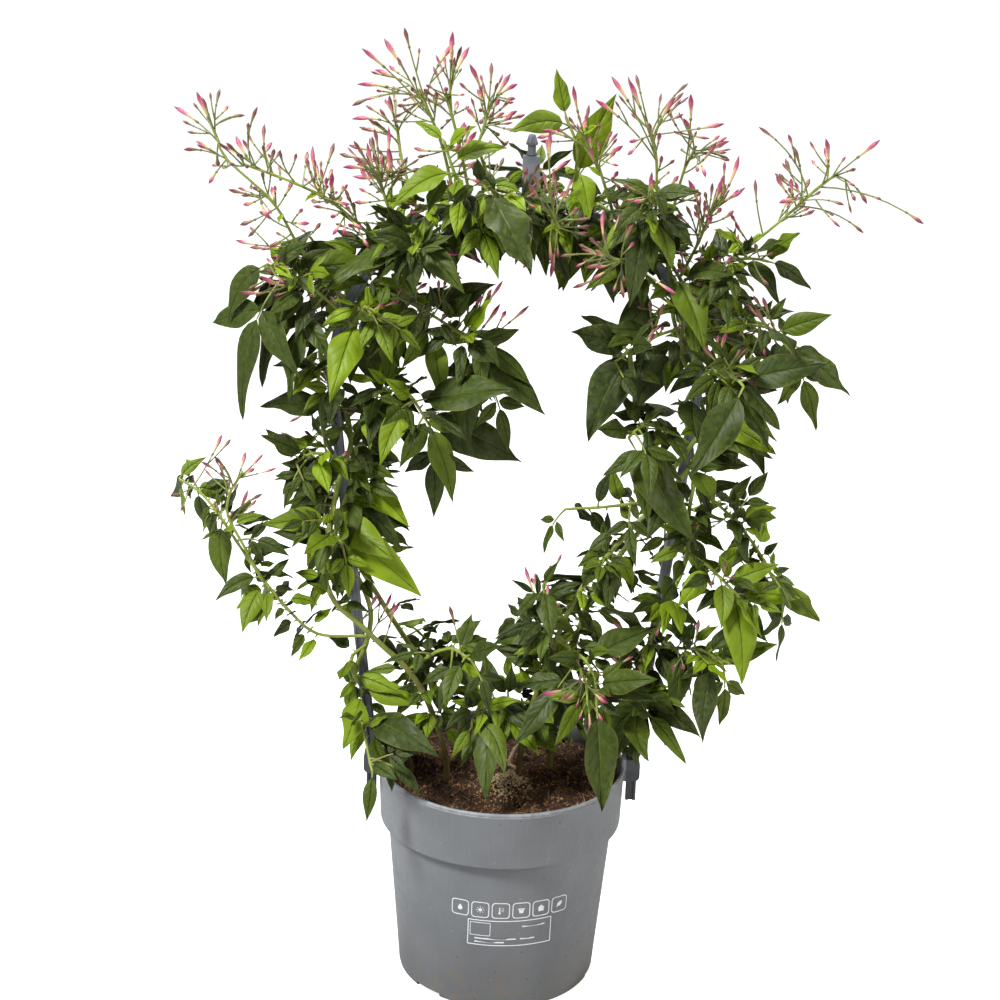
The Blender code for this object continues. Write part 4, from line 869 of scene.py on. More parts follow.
def try_leaf(base, along, attempt, rng, tip, pairs, width):
    """A leaf towards its tip, further astray and shorter at each attempt."""
    at = middle_of(base)
    shrink = 1.0 - LEAF_SHRINK * attempt
    goal = at + (tip - at) * shrink + stray(rng, LEAF_STRAY * attempt)
    reach = goal - at
    if reach.length < LEAST_REACH:
        goal = at + reach.normalized() * LEAST_REACH
    lift = along * 0.25 + Vector((0.0, 0.0, 0.35))
    heading = (reach.normalized() + lift).normalized()
    normal = blade_up(reach.normalized(), at, rng)
    count = pairs if reach.length > PAIRED_REACH else 0
    return compound_leaf(base, heading, goal, normal, count, width, rng)


def try_bud(base, along, attempt, rng, tip):
    """A bud towards its tip, further astray at each attempt."""
    goal = tip + stray(rng, BUD_STRAY * attempt)
    heading = ((goal - middle_of(base)).normalized() + along * 0.5).normalized()
    return spray_bud(base, heading, goal, rng)


def settle(bed, node, stem, kind, tries, try_one, jobs):
    """What finds room on the stem, by a list of marks, triangles, tips and what else it needs."""
    grown = []
    placed = []
    for mark, face, *job in jobs:
        rng = random.Random("%s %s %d" % (node, kind, mark))
        base = [stem.verts[k] for k in face]
        for attempt in range(tries):
            verts, faces, fine = try_one(base, stem.ahead_at(mark), attempt, rng, *job)
            if fits(bed, node, stem, face, (verts, faces), grown):
                bed.add(node, verts, faces)
                grown.append((face, (verts, faces)))
                placed.append(fine)
                break
    return placed


def grow_leaves(bed, node, stem, leaves):
    """The leaves of a stem, the last listed one from its own tip."""
    jobs = []
    for mark, (x, y, z, pairs, width) in enumerate(leaves):
        tip = Vector((x, y, z))
        face = stem.end() if mark == len(leaves) - 1 else stem.side_towards(mark, tip)
        jobs.append((mark, face, tip, pairs, width))
    for mark in range(len(leaves), len(stem.marks)):
        k = mark - len(leaves)
        tip = partner_tip(stem.verts[stem.root_at(k)], stem.ahead_at(k), jobs[k][2])
        jobs.append((mark, stem.side_towards(mark, tip), tip, 0, LONE_WIDTH))
    return settle(bed, node, stem, "leaf", LEAF_TRIES, try_leaf, jobs)


def grow_buds(bed, node, stem, tips):
    jobs = [(mark, stem.side_towards(mark, tip), tip) for mark, tip in enumerate(map(Vector, tips))]
    return settle(bed, node, stem, "bud", BUD_TRIES, try_bud, jobs)


def fuse(stem, grown):
    """One closed skin: each growth takes the place of its triangle on the stem."""
    verts = list(stem.verts)
    taken = set(tuple(sorted(face)) for face, shape in grown)
    faces = [face for face in stem.faces if tuple(sorted(face)) not in taken]
    for face, (points, sides) in grown:
        lift = len(verts) - 3
        index = list(face) + [k + lift for k in range(3, len(points))]
        verts += points[3:]
        faces += [tuple(index[k] for k in side) for side in sides]
    return verts, faces


def grow(bed):
    """Stems, then leaves, then buds, in the part's own order, with their nodes."""
    vines = build_vines(bed)
    shoots = []
    for name, fresh, route, leaves in list(SHOOTS) + back_shoots():
        node = "shoot_" + name
        stem = place_stem(bed, node, route, STEM_RADIUS, leaf_marks(leaves), LEAF_COLLAR)
        if stem:
            shoots.append((node, fresh, leaves, stem))
    sprays = []
    for name, route, tips in SPRAYS:
        node = "spray_" + name
        carriers = ("vine", "shoot_long") if name == "branch_left" else "vine"
        marks = bud_marks(route, tips)
        stem = place_stem(bed, node, route, AXIS_RADIUS, marks, BUD_COLLAR, carriers)
        if stem:
            sprays.append((node, tips, stem))
    shoots += [(node, False, vine_leaves(node, stem), stem) for node, stem in vines]
    leafy = [(node, stem, fresh, grow_leaves(bed, node, stem, leaves))
             for node, fresh, leaves, stem in shoots]
    return leafy, [(node, stem, grow_buds(bed, node, stem, tips)) for node, tips, stem in sprays]


class Graph:
    """A node tree: each call adds a node and gives back one of its outputs."""

    def __init__(self, tree):
        self.tree = tree

    def fill(self, socket, value):
        """Link a socket, or set it. A colour may be given without its alpha."""
        if isinstance(value, bpy.types.NodeSocket):
            self.tree.links.new(value, socket)
        else:
            socket.default_value = (*value, 1.0) if socket.type == "RGBA" else value

    def add(self, kind, inputs=(), out=0, **settings):
        node = self.tree.nodes.new(kind)
        for key, value in settings.items():
            setattr(node, key, value)
        for key, value in dict(inputs).items():
            self.fill(node.inputs[key], value)
        return node.outputs[out]

    def math(self, operation, a, b=0.0, clamp=False):
        return self.add("ShaderNodeMath", {0: a, 1: b}, operation=operation, use_clamp=clamp)

    def scaled(self, value, gain, offset):
        return self.add("ShaderNodeMath", {0: value, 1: gain, 2: offset}, operation="MULTIPLY_ADD")

    def span(self, value, low, high, start=0.0, end=1.0):
        """A smooth step of a value between two limits."""
        return self.add("ShaderNodeMapRange", {0: value, 1: low, 2: high, 3: start, 4: end},
                        interpolation_type="SMOOTHSTEP")

    def times(self, a, b):
        return self.math("MULTIPLY", a, b)

    def mix(self, share, a, b, blend="MIX"):
        return self.add("ShaderNodeMix", {0: share, 6: a, 7: b}, out=2, data_type="RGBA", blend_type=blend)

    def tint(self, base, mask, share, tone, blend="MIX"):
        """A base colour that takes a tone where a mask says, up to a share."""
        return self.mix(self.times(mask, share), base, tone, blend)

    def place(self):
        """The point on the surface in the part's frame, in metres."""
        return self.add("ShaderNodeTexCoord", out=3)

    def noise(self, place, scale, detail=3.0, rough=0.55):
        return self.add("ShaderNodeTexNoise", {"Vector": place, "Scale": scale, "Detail": detail,
                                               "Roughness": rough})

    def attribute(self, name):
        return self.add("ShaderNodeAttribute", out=2, attribute_name=name)

    def group(self, name, inputs, out):
        return self.add("ShaderNodeGroup", inputs, out=out, node_tree=bpy.data.node_groups[name])

    def mottle(self, place, scale):
        """The slow and the fast variation of a surface, by name."""
        return self.group("mottle", {"Place": place, "Scale": scale}, "Slow").node.outputs

    def specks(self, place, scale, amount, size):
        given = {"Place": place, "Scale": scale, "Amount": amount, "Size": size}
        return self.group("specks", given, "Mask")

    def bump(self, height, strength, distance):
        return self.add("ShaderNodeBump", {"Height": height, "Strength": strength, "Distance": distance})

    def surface(self, **sockets):
        """The Principled shader of a material, with its sockets set or linked."""
        shader = self.tree.nodes["Principled BSDF"]
        for key, value in sockets.items():
            self.fill(shader.inputs[key.replace("_", " ")], value)


def new_material(name):
    material = bpy.data.materials.new(name)
    material.use_nodes = True
    return Graph(material.node_tree)


def new_group(name, inputs, outputs):
    """A shader node group with number sockets, or a vector socket for None, and its ends."""
    tree = bpy.data.node_groups.new(name, "ShaderNodeTree")
    for title, value in inputs.items():
        kind = "NodeSocketVector" if value is None else "NodeSocketFloat"
        socket = tree.interface.new_socket(title, in_out="INPUT", socket_type=kind)
        if value is not None:
            socket.default_value = value
    for title in outputs:
        tree.interface.new_socket(title, in_out="OUTPUT", socket_type="NodeSocketFloat")
    start = tree.nodes.new("NodeGroupInput")
    end = tree.nodes.new("NodeGroupOutput")
    return Graph(tree), start.outputs, end.inputs


def mottle_group():
    """Slow and fast variation over a surface, both from 0 to 1."""
    g, given, wanted = new_group("mottle", {"Place": None, "Scale": 60.0}, ("Slow", "Fast"))
    slow = g.noise(given["Place"], given["Scale"], 2.0)
    fast = g.noise(given["Place"], g.times(given["Scale"], 6.0), 3.0, 0.65)
    g.fill(wanted["Slow"], g.span(slow, 0.3, 0.7))
    g.fill(wanted["Fast"], g.span(fast, 0.25, 0.75))


def specks_group():
    """A mask of scattered grit or dust."""
    inputs = {"Place": None, "Scale": 300.0, "Amount": 0.2, "Size": 0.3}
    g, given, wanted = new_group("specks", inputs, ("Mask",))
    cells = g.add("ShaderNodeTexVoronoi", {"Vector": given["Place"], "Scale": given["Scale"]}).node.outputs
    chance = g.add("ShaderNodeSeparateColor", {"Color": cells["Color"]})
    chosen = g.math("LESS_THAN", chance, given["Amount"])
    near = g.math("LESS_THAN", cells["Distance"], given["Size"])
    g.fill(wanted["Mask"], g.times(chosen, near))


def veins_group():
    """A blade's rib and side veins, by the place across and along it, each from 0 to 1."""
    inputs = {"Across": 0.5, "Along": 0.5, "Pairs": 6.0}
    g, given, wanted = new_group("veins", inputs, ("Rib", "Veins", "Height"))
    offset = g.times(g.math("ABSOLUTE", g.math("SUBTRACT", given["Across"], 0.5)), 2.0)
    thin = g.scaled(given["Along"], -0.05, 0.085)
    rib = g.math("SUBTRACT", 1.0, g.math("DIVIDE", offset, thin), clamp=True)
    bent = g.math("POWER", offset, 0.8)
    count = g.times(given["Along"], given["Pairs"])
    place = g.math("SUBTRACT", count, g.times(bent, 1.5))
    wave = g.times(g.math("PINGPONG", place, 0.5), 2.0)
    fade = g.span(offset, 0.65, 0.98, 1.0, 0.0)
    vein = g.times(g.span(wave, 0.0, 0.16, 1.0, 0.0), fade)
    swell = g.times(g.span(wave, 0.0, 0.7, 0.0, 0.55), fade)
    height = g.math("SUBTRACT", swell, g.times(rib, 1.4))
    g.fill(wanted["Rib"], rib)
    g.fill(wanted["Veins"], vein)
    g.fill(wanted["Height"], height)


def leaf_material(name, dark, pale, young, vein_colour, gloss, relief):
    """A leaf face: mottled green that turns young by leaf, with paler rib and veins."""
    g = new_material(name)
    uv = g.add("ShaderNodeUVMap", uv_map="blade")
    split = g.add("ShaderNodeSeparateXYZ", {0: uv}).node.outputs
    given = {"Across": split[0], "Along": split[1], "Pairs": 6.0}
    veins = g.group("veins", given, "Rib").node.outputs
    place = g.place()
    mottle = g.mottle(place, 45.0)
    base = g.mix(g.attribute("tone"), dark, pale)
    base = g.mix(g.attribute("young"), base, young)
    base = g.tint(base, mottle["Slow"], 0.45, g.mix(0.5, base, dark, "MULTIPLY"))
    base = g.tint(base, mottle["Fast"], 0.12, (0.26, 0.32, 0.05))
    base = g.tint(base, veins["Veins"], 0.09, vein_colour)
    base = g.tint(base, veins["Rib"], 0.5, vein_colour)
    edge = g.span(g.math("ABSOLUTE", g.math("SUBTRACT", split[0], 0.5)), 0.465, 0.5)
    base = g.tint(base, edge, 0.35, (0.2, 0.17, 0.05))
    rough = g.scaled(mottle["Fast"], 0.16, gloss)
    grain = g.times(g.noise(place, 1800.0, 2.0), 0.25)
    height = g.math("ADD", g.times(veins["Height"], relief), grain)
    g.surface(Base_Color=base, Roughness=rough, Normal=g.bump(height, 0.7, 0.0005),
              Specular_IOR_Level=0.2)


def stem_material():
    """Green stems that turn brown with age and redden in patches."""
    g = new_material("stem_skin")
    place = g.place()
    mottle = g.mottle(place, 90.0)
    green = g.mix(mottle["Slow"], (0.15, 0.23, 0.02), (0.28, 0.36, 0.05))
    bark = g.mix(mottle["Fast"], (0.10, 0.055, 0.025), (0.27, 0.17, 0.08))
    red = g.mix(mottle["Slow"], (0.19, 0.08, 0.04), (0.22, 0.2, 0.06))
    base = g.mix(g.attribute("age"), green, bark)
    base = g.mix(g.attribute("blush"), base, red)
    height = g.math("ADD", mottle["Fast"], g.noise(place, 1500.0))
    g.surface(Base_Color=base, Roughness=0.5, Normal=g.bump(height, 0.35, 0.0004))


def bud_material():
    """A green cup, a cream foot, a pink tube and a deeper tip, dull maroon while unripe."""
    g = new_material("bud_skin")
    along = g.attribute("along")
    place = g.place()
    mottle = g.mottle(place, 160.0)
    shade = g.math("ADD", along, g.scaled(mottle["Slow"], 0.12, -0.06))
    stops = ((0.0, (0.17, 0.23, 0.035)), (0.2, (0.13, 0.13, 0.03)), (0.27, (0.55, 0.5, 0.17)),
             (0.44, (0.68, 0.42, 0.25)), (0.56, (0.6, 0.18, 0.22)), (0.72, (0.4, 0.045, 0.14)),
             (1.0, (0.12, 0.012, 0.04)))
    ripe = g.add("ShaderNodeValToRGB", {0: shade})
    elements = ripe.node.color_ramp.elements
    for place_on, tint in stops[1:-1]:
        elements.new(place_on)
    for element, (place_on, tint) in zip(elements, stops):
        element.position = place_on
        element.color = (*tint, 1.0)
    dull = g.mix(along, (0.14, 0.17, 0.03), (0.09, 0.012, 0.02))
    base = g.mix(g.attribute("unripe"), ripe, dull)
    base = g.tint(base, mottle["Fast"], 0.2, (0.8, 0.3, 0.4), "MULTIPLY")
    g.surface(Base_Color=base, Roughness=0.42, Normal=g.bump(mottle["Fast"], 0.2, 0.0003),
              Sheen_Weight=0.15)


def pot_material():
    """Blue-grey recycled plastic, mottled, with dust specks, scuffs and rusty dirt, and painted shade on its
    lower part and its ears.
    """
    g = new_material("pot_skin")
    place = g.place()
    tall = g.add("ShaderNodeMapping", {"Vector": place, "Scale": (1.0, 1.0, 0.12)})
    mottle = g.mottle(place, 22.0)
    streaks = g.noise(tall, 420.0, 2.0)
    base = g.mix(mottle["Slow"], (0.15, 0.16, 0.172), (0.18, 0.191, 0.203))
    base = g.tint(base, g.span(streaks, 0.5, 0.75), 0.25, (0.2, 0.215, 0.23))
    spot = g.add("ShaderNodeSeparateXYZ", {0: place}).node.outputs
    height = spot[2]
    # Painted shade: the pot darkens towards its foot, from 115 mm down.
    base = g.mix(g.span(height, 0.115, 0.0, 0.0, 0.4), base, (0.07, 0.078, 0.086))
    edge = g.times(g.span(height, 0.1515, 0.153), g.span(mottle["Fast"], 0.2, 0.8, 0.35, 1.0))
    base = g.tint(base, edge, 0.6, (0.36, 0.38, 0.4))
    # Painted shade: beyond 85.2 mm from the axis, the ears are darkened nearly to black.
    base = g.mix(g.span(g.math("ABSOLUTE", spot[0]), 0.0852, 0.0862, 0.0, 0.85), base, (0.03, 0.033, 0.038))
    low = g.times(g.span(height, 0.06, 0.0), g.span(mottle["Fast"], 0.3, 0.9))
    base = g.tint(base, low, 0.5, (0.2, 0.16, 0.11))
    dust = g.specks(place, 330.0, 0.06, 0.14)
    grit = g.specks(place, 230.0, 0.04, 0.17)
    base = g.tint(base, dust, 0.55, (0.42, 0.42, 0.42))
    base = g.tint(base, grit, 0.6, (0.07, 0.05, 0.035))
    rough = g.scaled(mottle["Fast"], 0.14, 0.44)
    relief = g.math("ADD", g.times(mottle["Fast"], 0.6), dust)
    g.surface(Base_Color=base, Roughness=rough, Normal=g.bump(relief, 0.25, 0.0004))


def hoop_material():
    """Moulded plastic with a dull shine and a little dust, and painted shade that darkens it low down."""
    g = new_material("hoop_skin")
    place = g.place()
    mottle = g.mottle(place, 70.0)
    dust = g.specks(place, 420.0, 0.06, 0.25)
    base = g.mix(mottle["Slow"], (0.17, 0.186, 0.215), (0.24, 0.262, 0.3))
    height = g.add("ShaderNodeSeparateXYZ", {0: place}, out=2)
    # Painted shade: the hoop darkens from 0.3 m down to 0.17 m, near the pot.
    base = g.mix(g.span(height, 0.3, 0.17), base, (0.04, 0.044, 0.05))
    base = g.tint(base, dust, 0.5, (0.22, 0.22, 0.2))
    rough = g.scaled(mottle["Fast"], 0.15, 0.33)
    g.surface(Base_Color=base, Roughness=rough, Normal=g.bump(mottle["Fast"], 0.15, 0.0003))


def peat_material():
    """Dark moist peat with rusty and straw-coloured crumbs."""
    g = new_material("peat_skin")
    place = g.place()
    mottle = g.mottle(place, 110.0)
    base = g.mix(mottle["Slow"], (0.008, 0.004, 0.002), (0.04, 0.016, 0.007))
    base = g.tint(base, mottle["Fast"], 0.3, (0.17, 0.072, 0.025))
    crumbs = g.specks(place, 560.0, 0.2, 0.34)
    base = g.tint(base, crumbs, 0.75, (0.4, 0.19, 0.07))
    relief = g.math("ADD", g.noise(place, 900.0, 4.0, 0.7), g.times(crumbs, 0.5))
    g.surface(Base_Color=base, Roughness=0.9, Normal=g.bump(relief, 0.9, 0.0012))


def grain_material(name, scale, dark, pale, wear, worn, rough, relief):
    """Loose grains, each its own tint from dark to pale, worn in spots."""
    g = new_material(name)
    fast = g.mottle(g.place(), scale)["Fast"]
    base = g.tint(g.mix(g.attribute("tone"), dark, pale), fast, wear, worn, "MULTIPLY")
    g.surface(Base_Color=base, Roughness=rough, Normal=g.bump(fast, relief, relief * MM))


def twig_material():
    """Pale dry wood with darker seams."""
    g = new_material("dry_wood")
    fast = g.mottle(g.place(), 150.0)["Fast"]
    base = g.mix(fast, (0.46, 0.34, 0.22), (0.24, 0.15, 0.08))
    g.surface(Base_Color=base, Roughness=0.8, Normal=g.bump(fast, 0.5, 0.0006))


def ink_material():
    """The pale print on the pot, slightly worn."""
    g = new_material("pale_ink")
    worn = g.span(g.noise(g.place(), 700.0, 3.0), 0.35, 0.6)
    base = g.mix(g.times(worn, 0.25), (0.82, 0.84, 0.86), (0.45, 0.47, 0.5))
    g.surface(Base_Color=base, Roughness=0.5)


def make_materials():
    mottle_group()
    specks_group()
    veins_group()
    leaf_material("leaf_top", (0.014, 0.025, 0.007), (0.053, 0.085, 0.008),
                  (0.21, 0.32, 0.006), (0.12, 0.165, 0.025), 0.38, 1.0)
    leaf_material("leaf_under", (0.035, 0.054, 0.01), (0.08, 0.11, 0.015),
                  (0.22, 0.32, 0.01), (0.22, 0.28, 0.05), 0.55, -1.0)
    stem_material()
    bud_material()
    pot_material()
    hoop_material()
    peat_material()
    grain_material("litter_skin", 200.0, (0.03, 0.012, 0.005), (0.55, 0.3, 0.12),
                   0.4, (0.6, 0.45, 0.3), 0.85, 0.5)
    grain_material("grit_skin", 260.0, (0.3, 0.2, 0.1), (0.85, 0.72, 0.45),
                   0.35, (0.65, 0.55, 0.4), 0.7, 0.4)
    twig_material()
    ink_material()


PLAIN_CREASE = 35.0


def new_object(name, data):
    made = bpy.data.objects.new(name, data)
    bpy.context.scene.collection.objects.link(made)
    return made


def shade(mesh, crease):
    """Smooth faces, with a sharp edge wherever they turn by more than the crease."""
    mesh.shade_smooth()
    mesh.set_sharp_from_angle(angle=radians(crease))


class Skin:
    """The points and faces of one piece, with a slot per face and named values per point."""

    def __init__(self, names=("tone", "young", "age", "blush")):
        self.verts = []
        self.faces = []
        self.slots = []
        self.spots = []
        self.values = {name: [] for name in names}

    def add(self, verts, faces, slot, spots=None, **values):
        lift = len(self.verts)
        self.verts += verts
        self.faces += [tuple(k + lift for k in face) for face in faces]
        self.slots += [slot] * len(faces)
        self.spots += spots or [(0.5, 0.5)] * len(verts)
        for name, held in self.values.items():
            value = values.get(name, 0.0)
            held += value if isinstance(value, list) else [value] * len(verts)

    def piece(self, name, materials, crease=50.0):
        mesh = bpy.data.meshes.new(name)
        mesh.from_pydata([tuple(Vector(v) * MM) for v in self.verts], [], self.faces)
        for title in materials:
            mesh.materials.append(title and bpy.data.materials[title])
        mesh.polygons.foreach_set("material_index", self.slots)
        layer = mesh.uv_layers.new(name="blade")
        corners = [k for face in self.faces for k in face]
        layer.data.foreach_set("uv", [c for k in corners for c in self.spots[k]])
        for title, held in self.values.items():
            mesh.attributes.new(title, "FLOAT", "POINT").data.foreach_set("value", held)
        shade(mesh, crease)
        return new_object(name, mesh)


def finish_piece(made, slot, *nodes):
    """Seat a piece in the part: it rides on the root and stands for its nodes, which are hidden. The slot is
    not used.
    """
    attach(made, "root")
    if nodes:
        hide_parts(*nodes)
    return made


# The points across a blade and how many rows it has, for blades up to so many millimetres long.
BLADE_GRIDS = (
    (15.0, (-1.0, -0.5, -0.12, 0.0, 0.12, 0.5, 1.0), 7),
    (26.0, (-1.0, -0.6, -0.12, 0.0, 0.12, 0.6, 1.0), 9),
    (99.0, (-1.0, -0.7, -0.36, -0.1, 0.0, 0.1, 0.36, 0.7, 1.0), 12),
)
# The round stems' radii at root and tip.
VINE_GIRTH = (2.1, 1.15)
SHOOT_GIRTH = (1.15, 0.75)
AXIS_GIRTH = (1.15, 0.7)
BLADE_SKIN = 0.22
RIB_GROOVE = 0.3


def blade_outline(share):
    """A blade's width at a share of its length: round at its foot, drawn out to its tip."""
    return sin(pi * share ** 0.74) ** 1.03 * (1.0 - 0.25 * share) / 0.91


def add_blade(skin, blade, rng, tone, young):
    """A thin waved blade with a groove over its rib, its two faces in slots 0 and 1."""
    columns, count = next(grid[1:] for grid in BLADE_GRIDS if blade.length <= grid[0])
    twist = rng.uniform(-0.35, 0.35)
    curl = rng.uniform(0.05, 0.42)
    phases = [rng.uniform(0, FULL_TURN) for edge in range(2)]
    waves = rng.uniform(1.2, 2.4)
    swing = blade.width * rng.uniform(0.04, 0.12)
    verts = [blade.curve(0.0)[0]]
    spots = [(0.5, 0.0)]
    rows = []
    for i in range(1, count):
        share = i / count
        point, ahead = blade.curve(share)
        side = ahead.cross(blade.up).normalized()
        up = side.cross(ahead)
        angle = twist * share
        lean, away = cos(angle), sin(angle)
        side, up = side * lean + up * away, up * lean - side * away
        half = blade.width / 2 * blade_outline(share)
        row = []
        for under in (False, True):
            line = []
            for j, s in enumerate(columns):
                if under and abs(s) == 1.0:
                    line.append(row[0][j])
                    continue
                wave = sin(FULL_TURN * waves * share + phases[s > 0]) * swing * s * s
                rise = abs(s) * half * sin(blade.fold) - s * s * half * curl + wave
                groove = RIB_GROOVE * max(0.0, 1.0 - abs(s) / 0.12)
                skin_half = BLADE_SKIN * (1.0 - s * s)
                rise += -skin_half - groove if under else skin_half - groove
                line.append(len(verts))
                verts.append(point + side * (s * half * cos(blade.fold)) + up * rise)
                spots.append(((s + 1.0) / 2.0, share))
            row.append(line)
        rows.append(row)
    tip = len(verts)
    verts.append(blade.curve(1.0)[0])
    spots.append((0.5, 1.0))
    tops = []
    unders = []
    last = len(columns) - 1
    for j in range(last):
        tops.append((0, rows[0][0][j + 1], rows[0][0][j]))
        unders.append((0, rows[0][1][j], rows[0][1][j + 1]))
        tops.append((tip, rows[-1][0][j], rows[-1][0][j + 1]))
        unders.append((tip, rows[-1][1][j + 1], rows[-1][1][j]))
        for low, high in zip(rows, rows[1:]):
            tops.append((low[0][j], low[0][j + 1], high[0][j + 1], high[0][j]))
            unders.append((low[1][j + 1], low[1][j], high[1][j], high[1][j + 1]))
    faces = tops + unders
    skin.add(verts, faces, 0, spots, tone=tone, young=young)
    skin.slots[-len(unders):] = [1] * len(unders)


def add_tube(skin, points, radii, sides, slot, **values):
    """A round closed stem along points. A listed value has one entry for each point."""
    verts, faces = tube(points, radii, sides)
    spread = {}
    for name, value in values.items():
        spread[name] = [v for v in value for side in range(sides)] if isinstance(value, list) else value
    skin.add(verts, faces, slot, **spread)


def tube(points, radii, sides):
    verts = []
    side = (points[1] - points[0]).orthogonal().normalized()
    for k, point in enumerate(points):
        ahead = (points[min(k + 1, len(points) - 1)] - points[max(k - 1, 0)]).normalized()
        side, up = squared(side, ahead)
        verts += circle(point, side, up, radii[k], sides)
    faces = [tuple(range(sides))[::-1], tuple(range(len(verts) - sides, len(verts)))]
    return verts, faces + tube_faces(len(points), sides)


def add_leaf(skin, leaf, rng, young, tone):
    shares = [leaf.root * k / 7 for k in range(8)]
    points = [bezier(leaf.start, leaf.knee, leaf.tip, share) for share in shares]
    blush = rng.uniform(0.0, 0.6)
    add_tube(skin, points, taper(8, 0.85, 0.5), 6, 2, blush=blush)
    for blade in leaf.blades:
        shade = min(1.0, max(0.0, tone + rng.uniform(-0.15, 0.15)))
        add_blade(skin, blade, rng, shade, young)


def stem_radii(stem, points, start, end):
    """The round stem's radius at its points, with a swelling at each mark."""
    total = polyline_length(points)
    radii = []
    far = 0.0
    for k, point in enumerate(points):
        if k:
            far += (point - points[k - 1]).length
        share = far / total
        knot = max([0.0] + [1.0 - abs(far - mark * total) / 5.0 for mark in stem.marks])
        radii.append((start + (end - start) * share) * (1.0 + 0.28 * max(0.0, knot)))
    return radii


def leafy_piece(name, stem, fresh, leaves, extras):
    rng = random.Random("looks " + name)
    skin = Skin()
    vine = name.startswith("vine")
    points = fine_points(stem)
    if vine:
        radii = stem_radii(stem, points, *VINE_GIRTH)
        ages = [max(0.0, 0.85 - 3.2 * k / len(points)) for k in range(len(points))]
    else:
        radii = stem_radii(stem, points, *SHOOT_GIRTH)
        ages = 0.0
    blush = [0.16 + 0.4 * noise.noise(point / 30.0) for point in points]
    add_tube(skin, points, radii, 8, 2, age=ages, blush=blush)
    for leaf in leaves:
        young = rng.uniform(0.45, 1.0) if fresh else max(0.0, rng.uniform(-0.9, 0.45))
        add_leaf(skin, leaf, rng, young, rng.uniform(0.1, 0.75))
    for leaf, bright in extras:
        young = rng.uniform(0.45, 1.0) if bright else max(0.0, rng.uniform(-0.6, 0.3))
        add_leaf(skin, leaf, rng, young, rng.uniform(0.1, 0.8))
    made = skin.piece("jasmine_" + name, ("leaf_top", "leaf_under", "stem_skin"))
    kind = "vine_stem" if vine else "leaf_young" if fresh else "leaf_green"
    return finish_piece(made, kind, name)


def fine_points(stem):
    """The stem's own course in short steps, from the middles of its rings."""
    rings = [middle_of(stem.verts[k:k + 3]) for k in range(0, len(stem.verts), 3)]
    kept = [rings[0]]
    for point in rings[1:-1]:
        if (point - kept[-1]).length > 5.0:
            kept.append(point)
    kept.append(rings[-1])
    return smooth_route(kept, 5.0)


BUD_PROFILE = (
    (0.0, 0.4, 0.02), (0.02, 0.8, 0.08), (0.07, 0.95, 0.14), (0.12, 0.85, 0.19), (0.125, 0.58, 0.24),
    (0.22, 0.7, 0.3), (0.36, 0.88, 0.38), (0.5, 1.14, 0.48), (0.6, 1.4, 0.57), (0.69, 1.5, 0.65),
    (0.78, 1.3, 0.74), (0.87, 0.86, 0.84), (0.95, 0.4, 0.94), (0.985, 0.15, 0.98),
)
BUD_SIDES = 8
BUD_VALUES = ("along", "unripe", "tone", "young", "age", "blush")


def add_bud(skin, bud, rng, unripe, size=1.0):
    """A stalk, a green cup and a slender bud whose folded petals wind round to its tip."""
    begin = 1.0 - bud.share
    shares = [begin * k / 5 for k in range(6)]
    stalk = [bezier(*bud[:3], share) for share in shares]
    add_tube(skin, stalk, taper(6, 0.6, 0.45), 5, 0, along=0.04, unripe=rng.uniform(0.0, 0.8))
    size *= rng.uniform(0.85, 1.1)
    verts = []
    along = []
    side = (bud.tip - bud.start).orthogonal().normalized()
    for place, radius, tint in BUD_PROFILE:
        share = begin + bud.share * place
        point, ahead = bow(*bud[:3], share)
        side, up = squared(side, ahead)
        for turn in turns(BUD_SIDES):
            fold = 1.0 + 0.1 * max(0.0, place - 0.4) * cos(5.0 * turn + 9.0 * place)
            reach = radius * size * fold
            verts.append(point + (side * cos(turn) + up * sin(turn)) * reach)
            along.append(tint)
    verts.append(bud.tip)
    along.append(1.0)
    tip = len(verts) - 1
    faces = [tuple(range(BUD_SIDES))[::-1]] + tube_faces(len(BUD_PROFILE), BUD_SIDES)
    for j in range(BUD_SIDES):
        faces.append((tip - BUD_SIDES + j, tip - BUD_SIDES + (j + 1) % BUD_SIDES, tip))
    skin.add(verts, faces, 0, along=along, unripe=unripe)


def companion(bud, rng):
    """A smaller bud that branches off another's stalk."""
    share = (1.0 - bud.share) * rng.uniform(0.35, 0.8)
    start = bezier(*bud[:3], share)
    ahead = (bud.tip - start).normalized()
    across = ahead.orthogonal().normalized()
    across.rotate(Matrix.Rotation(rng.uniform(0, FULL_TURN), 3, ahead))
    length = rng.uniform(13.0, 24.0)
    heading = (ahead + across * rng.uniform(0.5, 1.0)).normalized()
    tip = start + (heading + ahead * 0.25).normalized() * length
    tip.x = min(max(tip.x, cad_box[0][0] / MM), cad_box[1][0] / MM)
    return Bud(start, start + heading * length * 0.5, tip, rng.uniform(0.42, 0.62))


# The sprays whose buds are mostly small and dull still.
SLOW_SPRAYS = ("spray_far_left_low", "spray_far_left_high", "spray_branch_left", "spray_far_right")


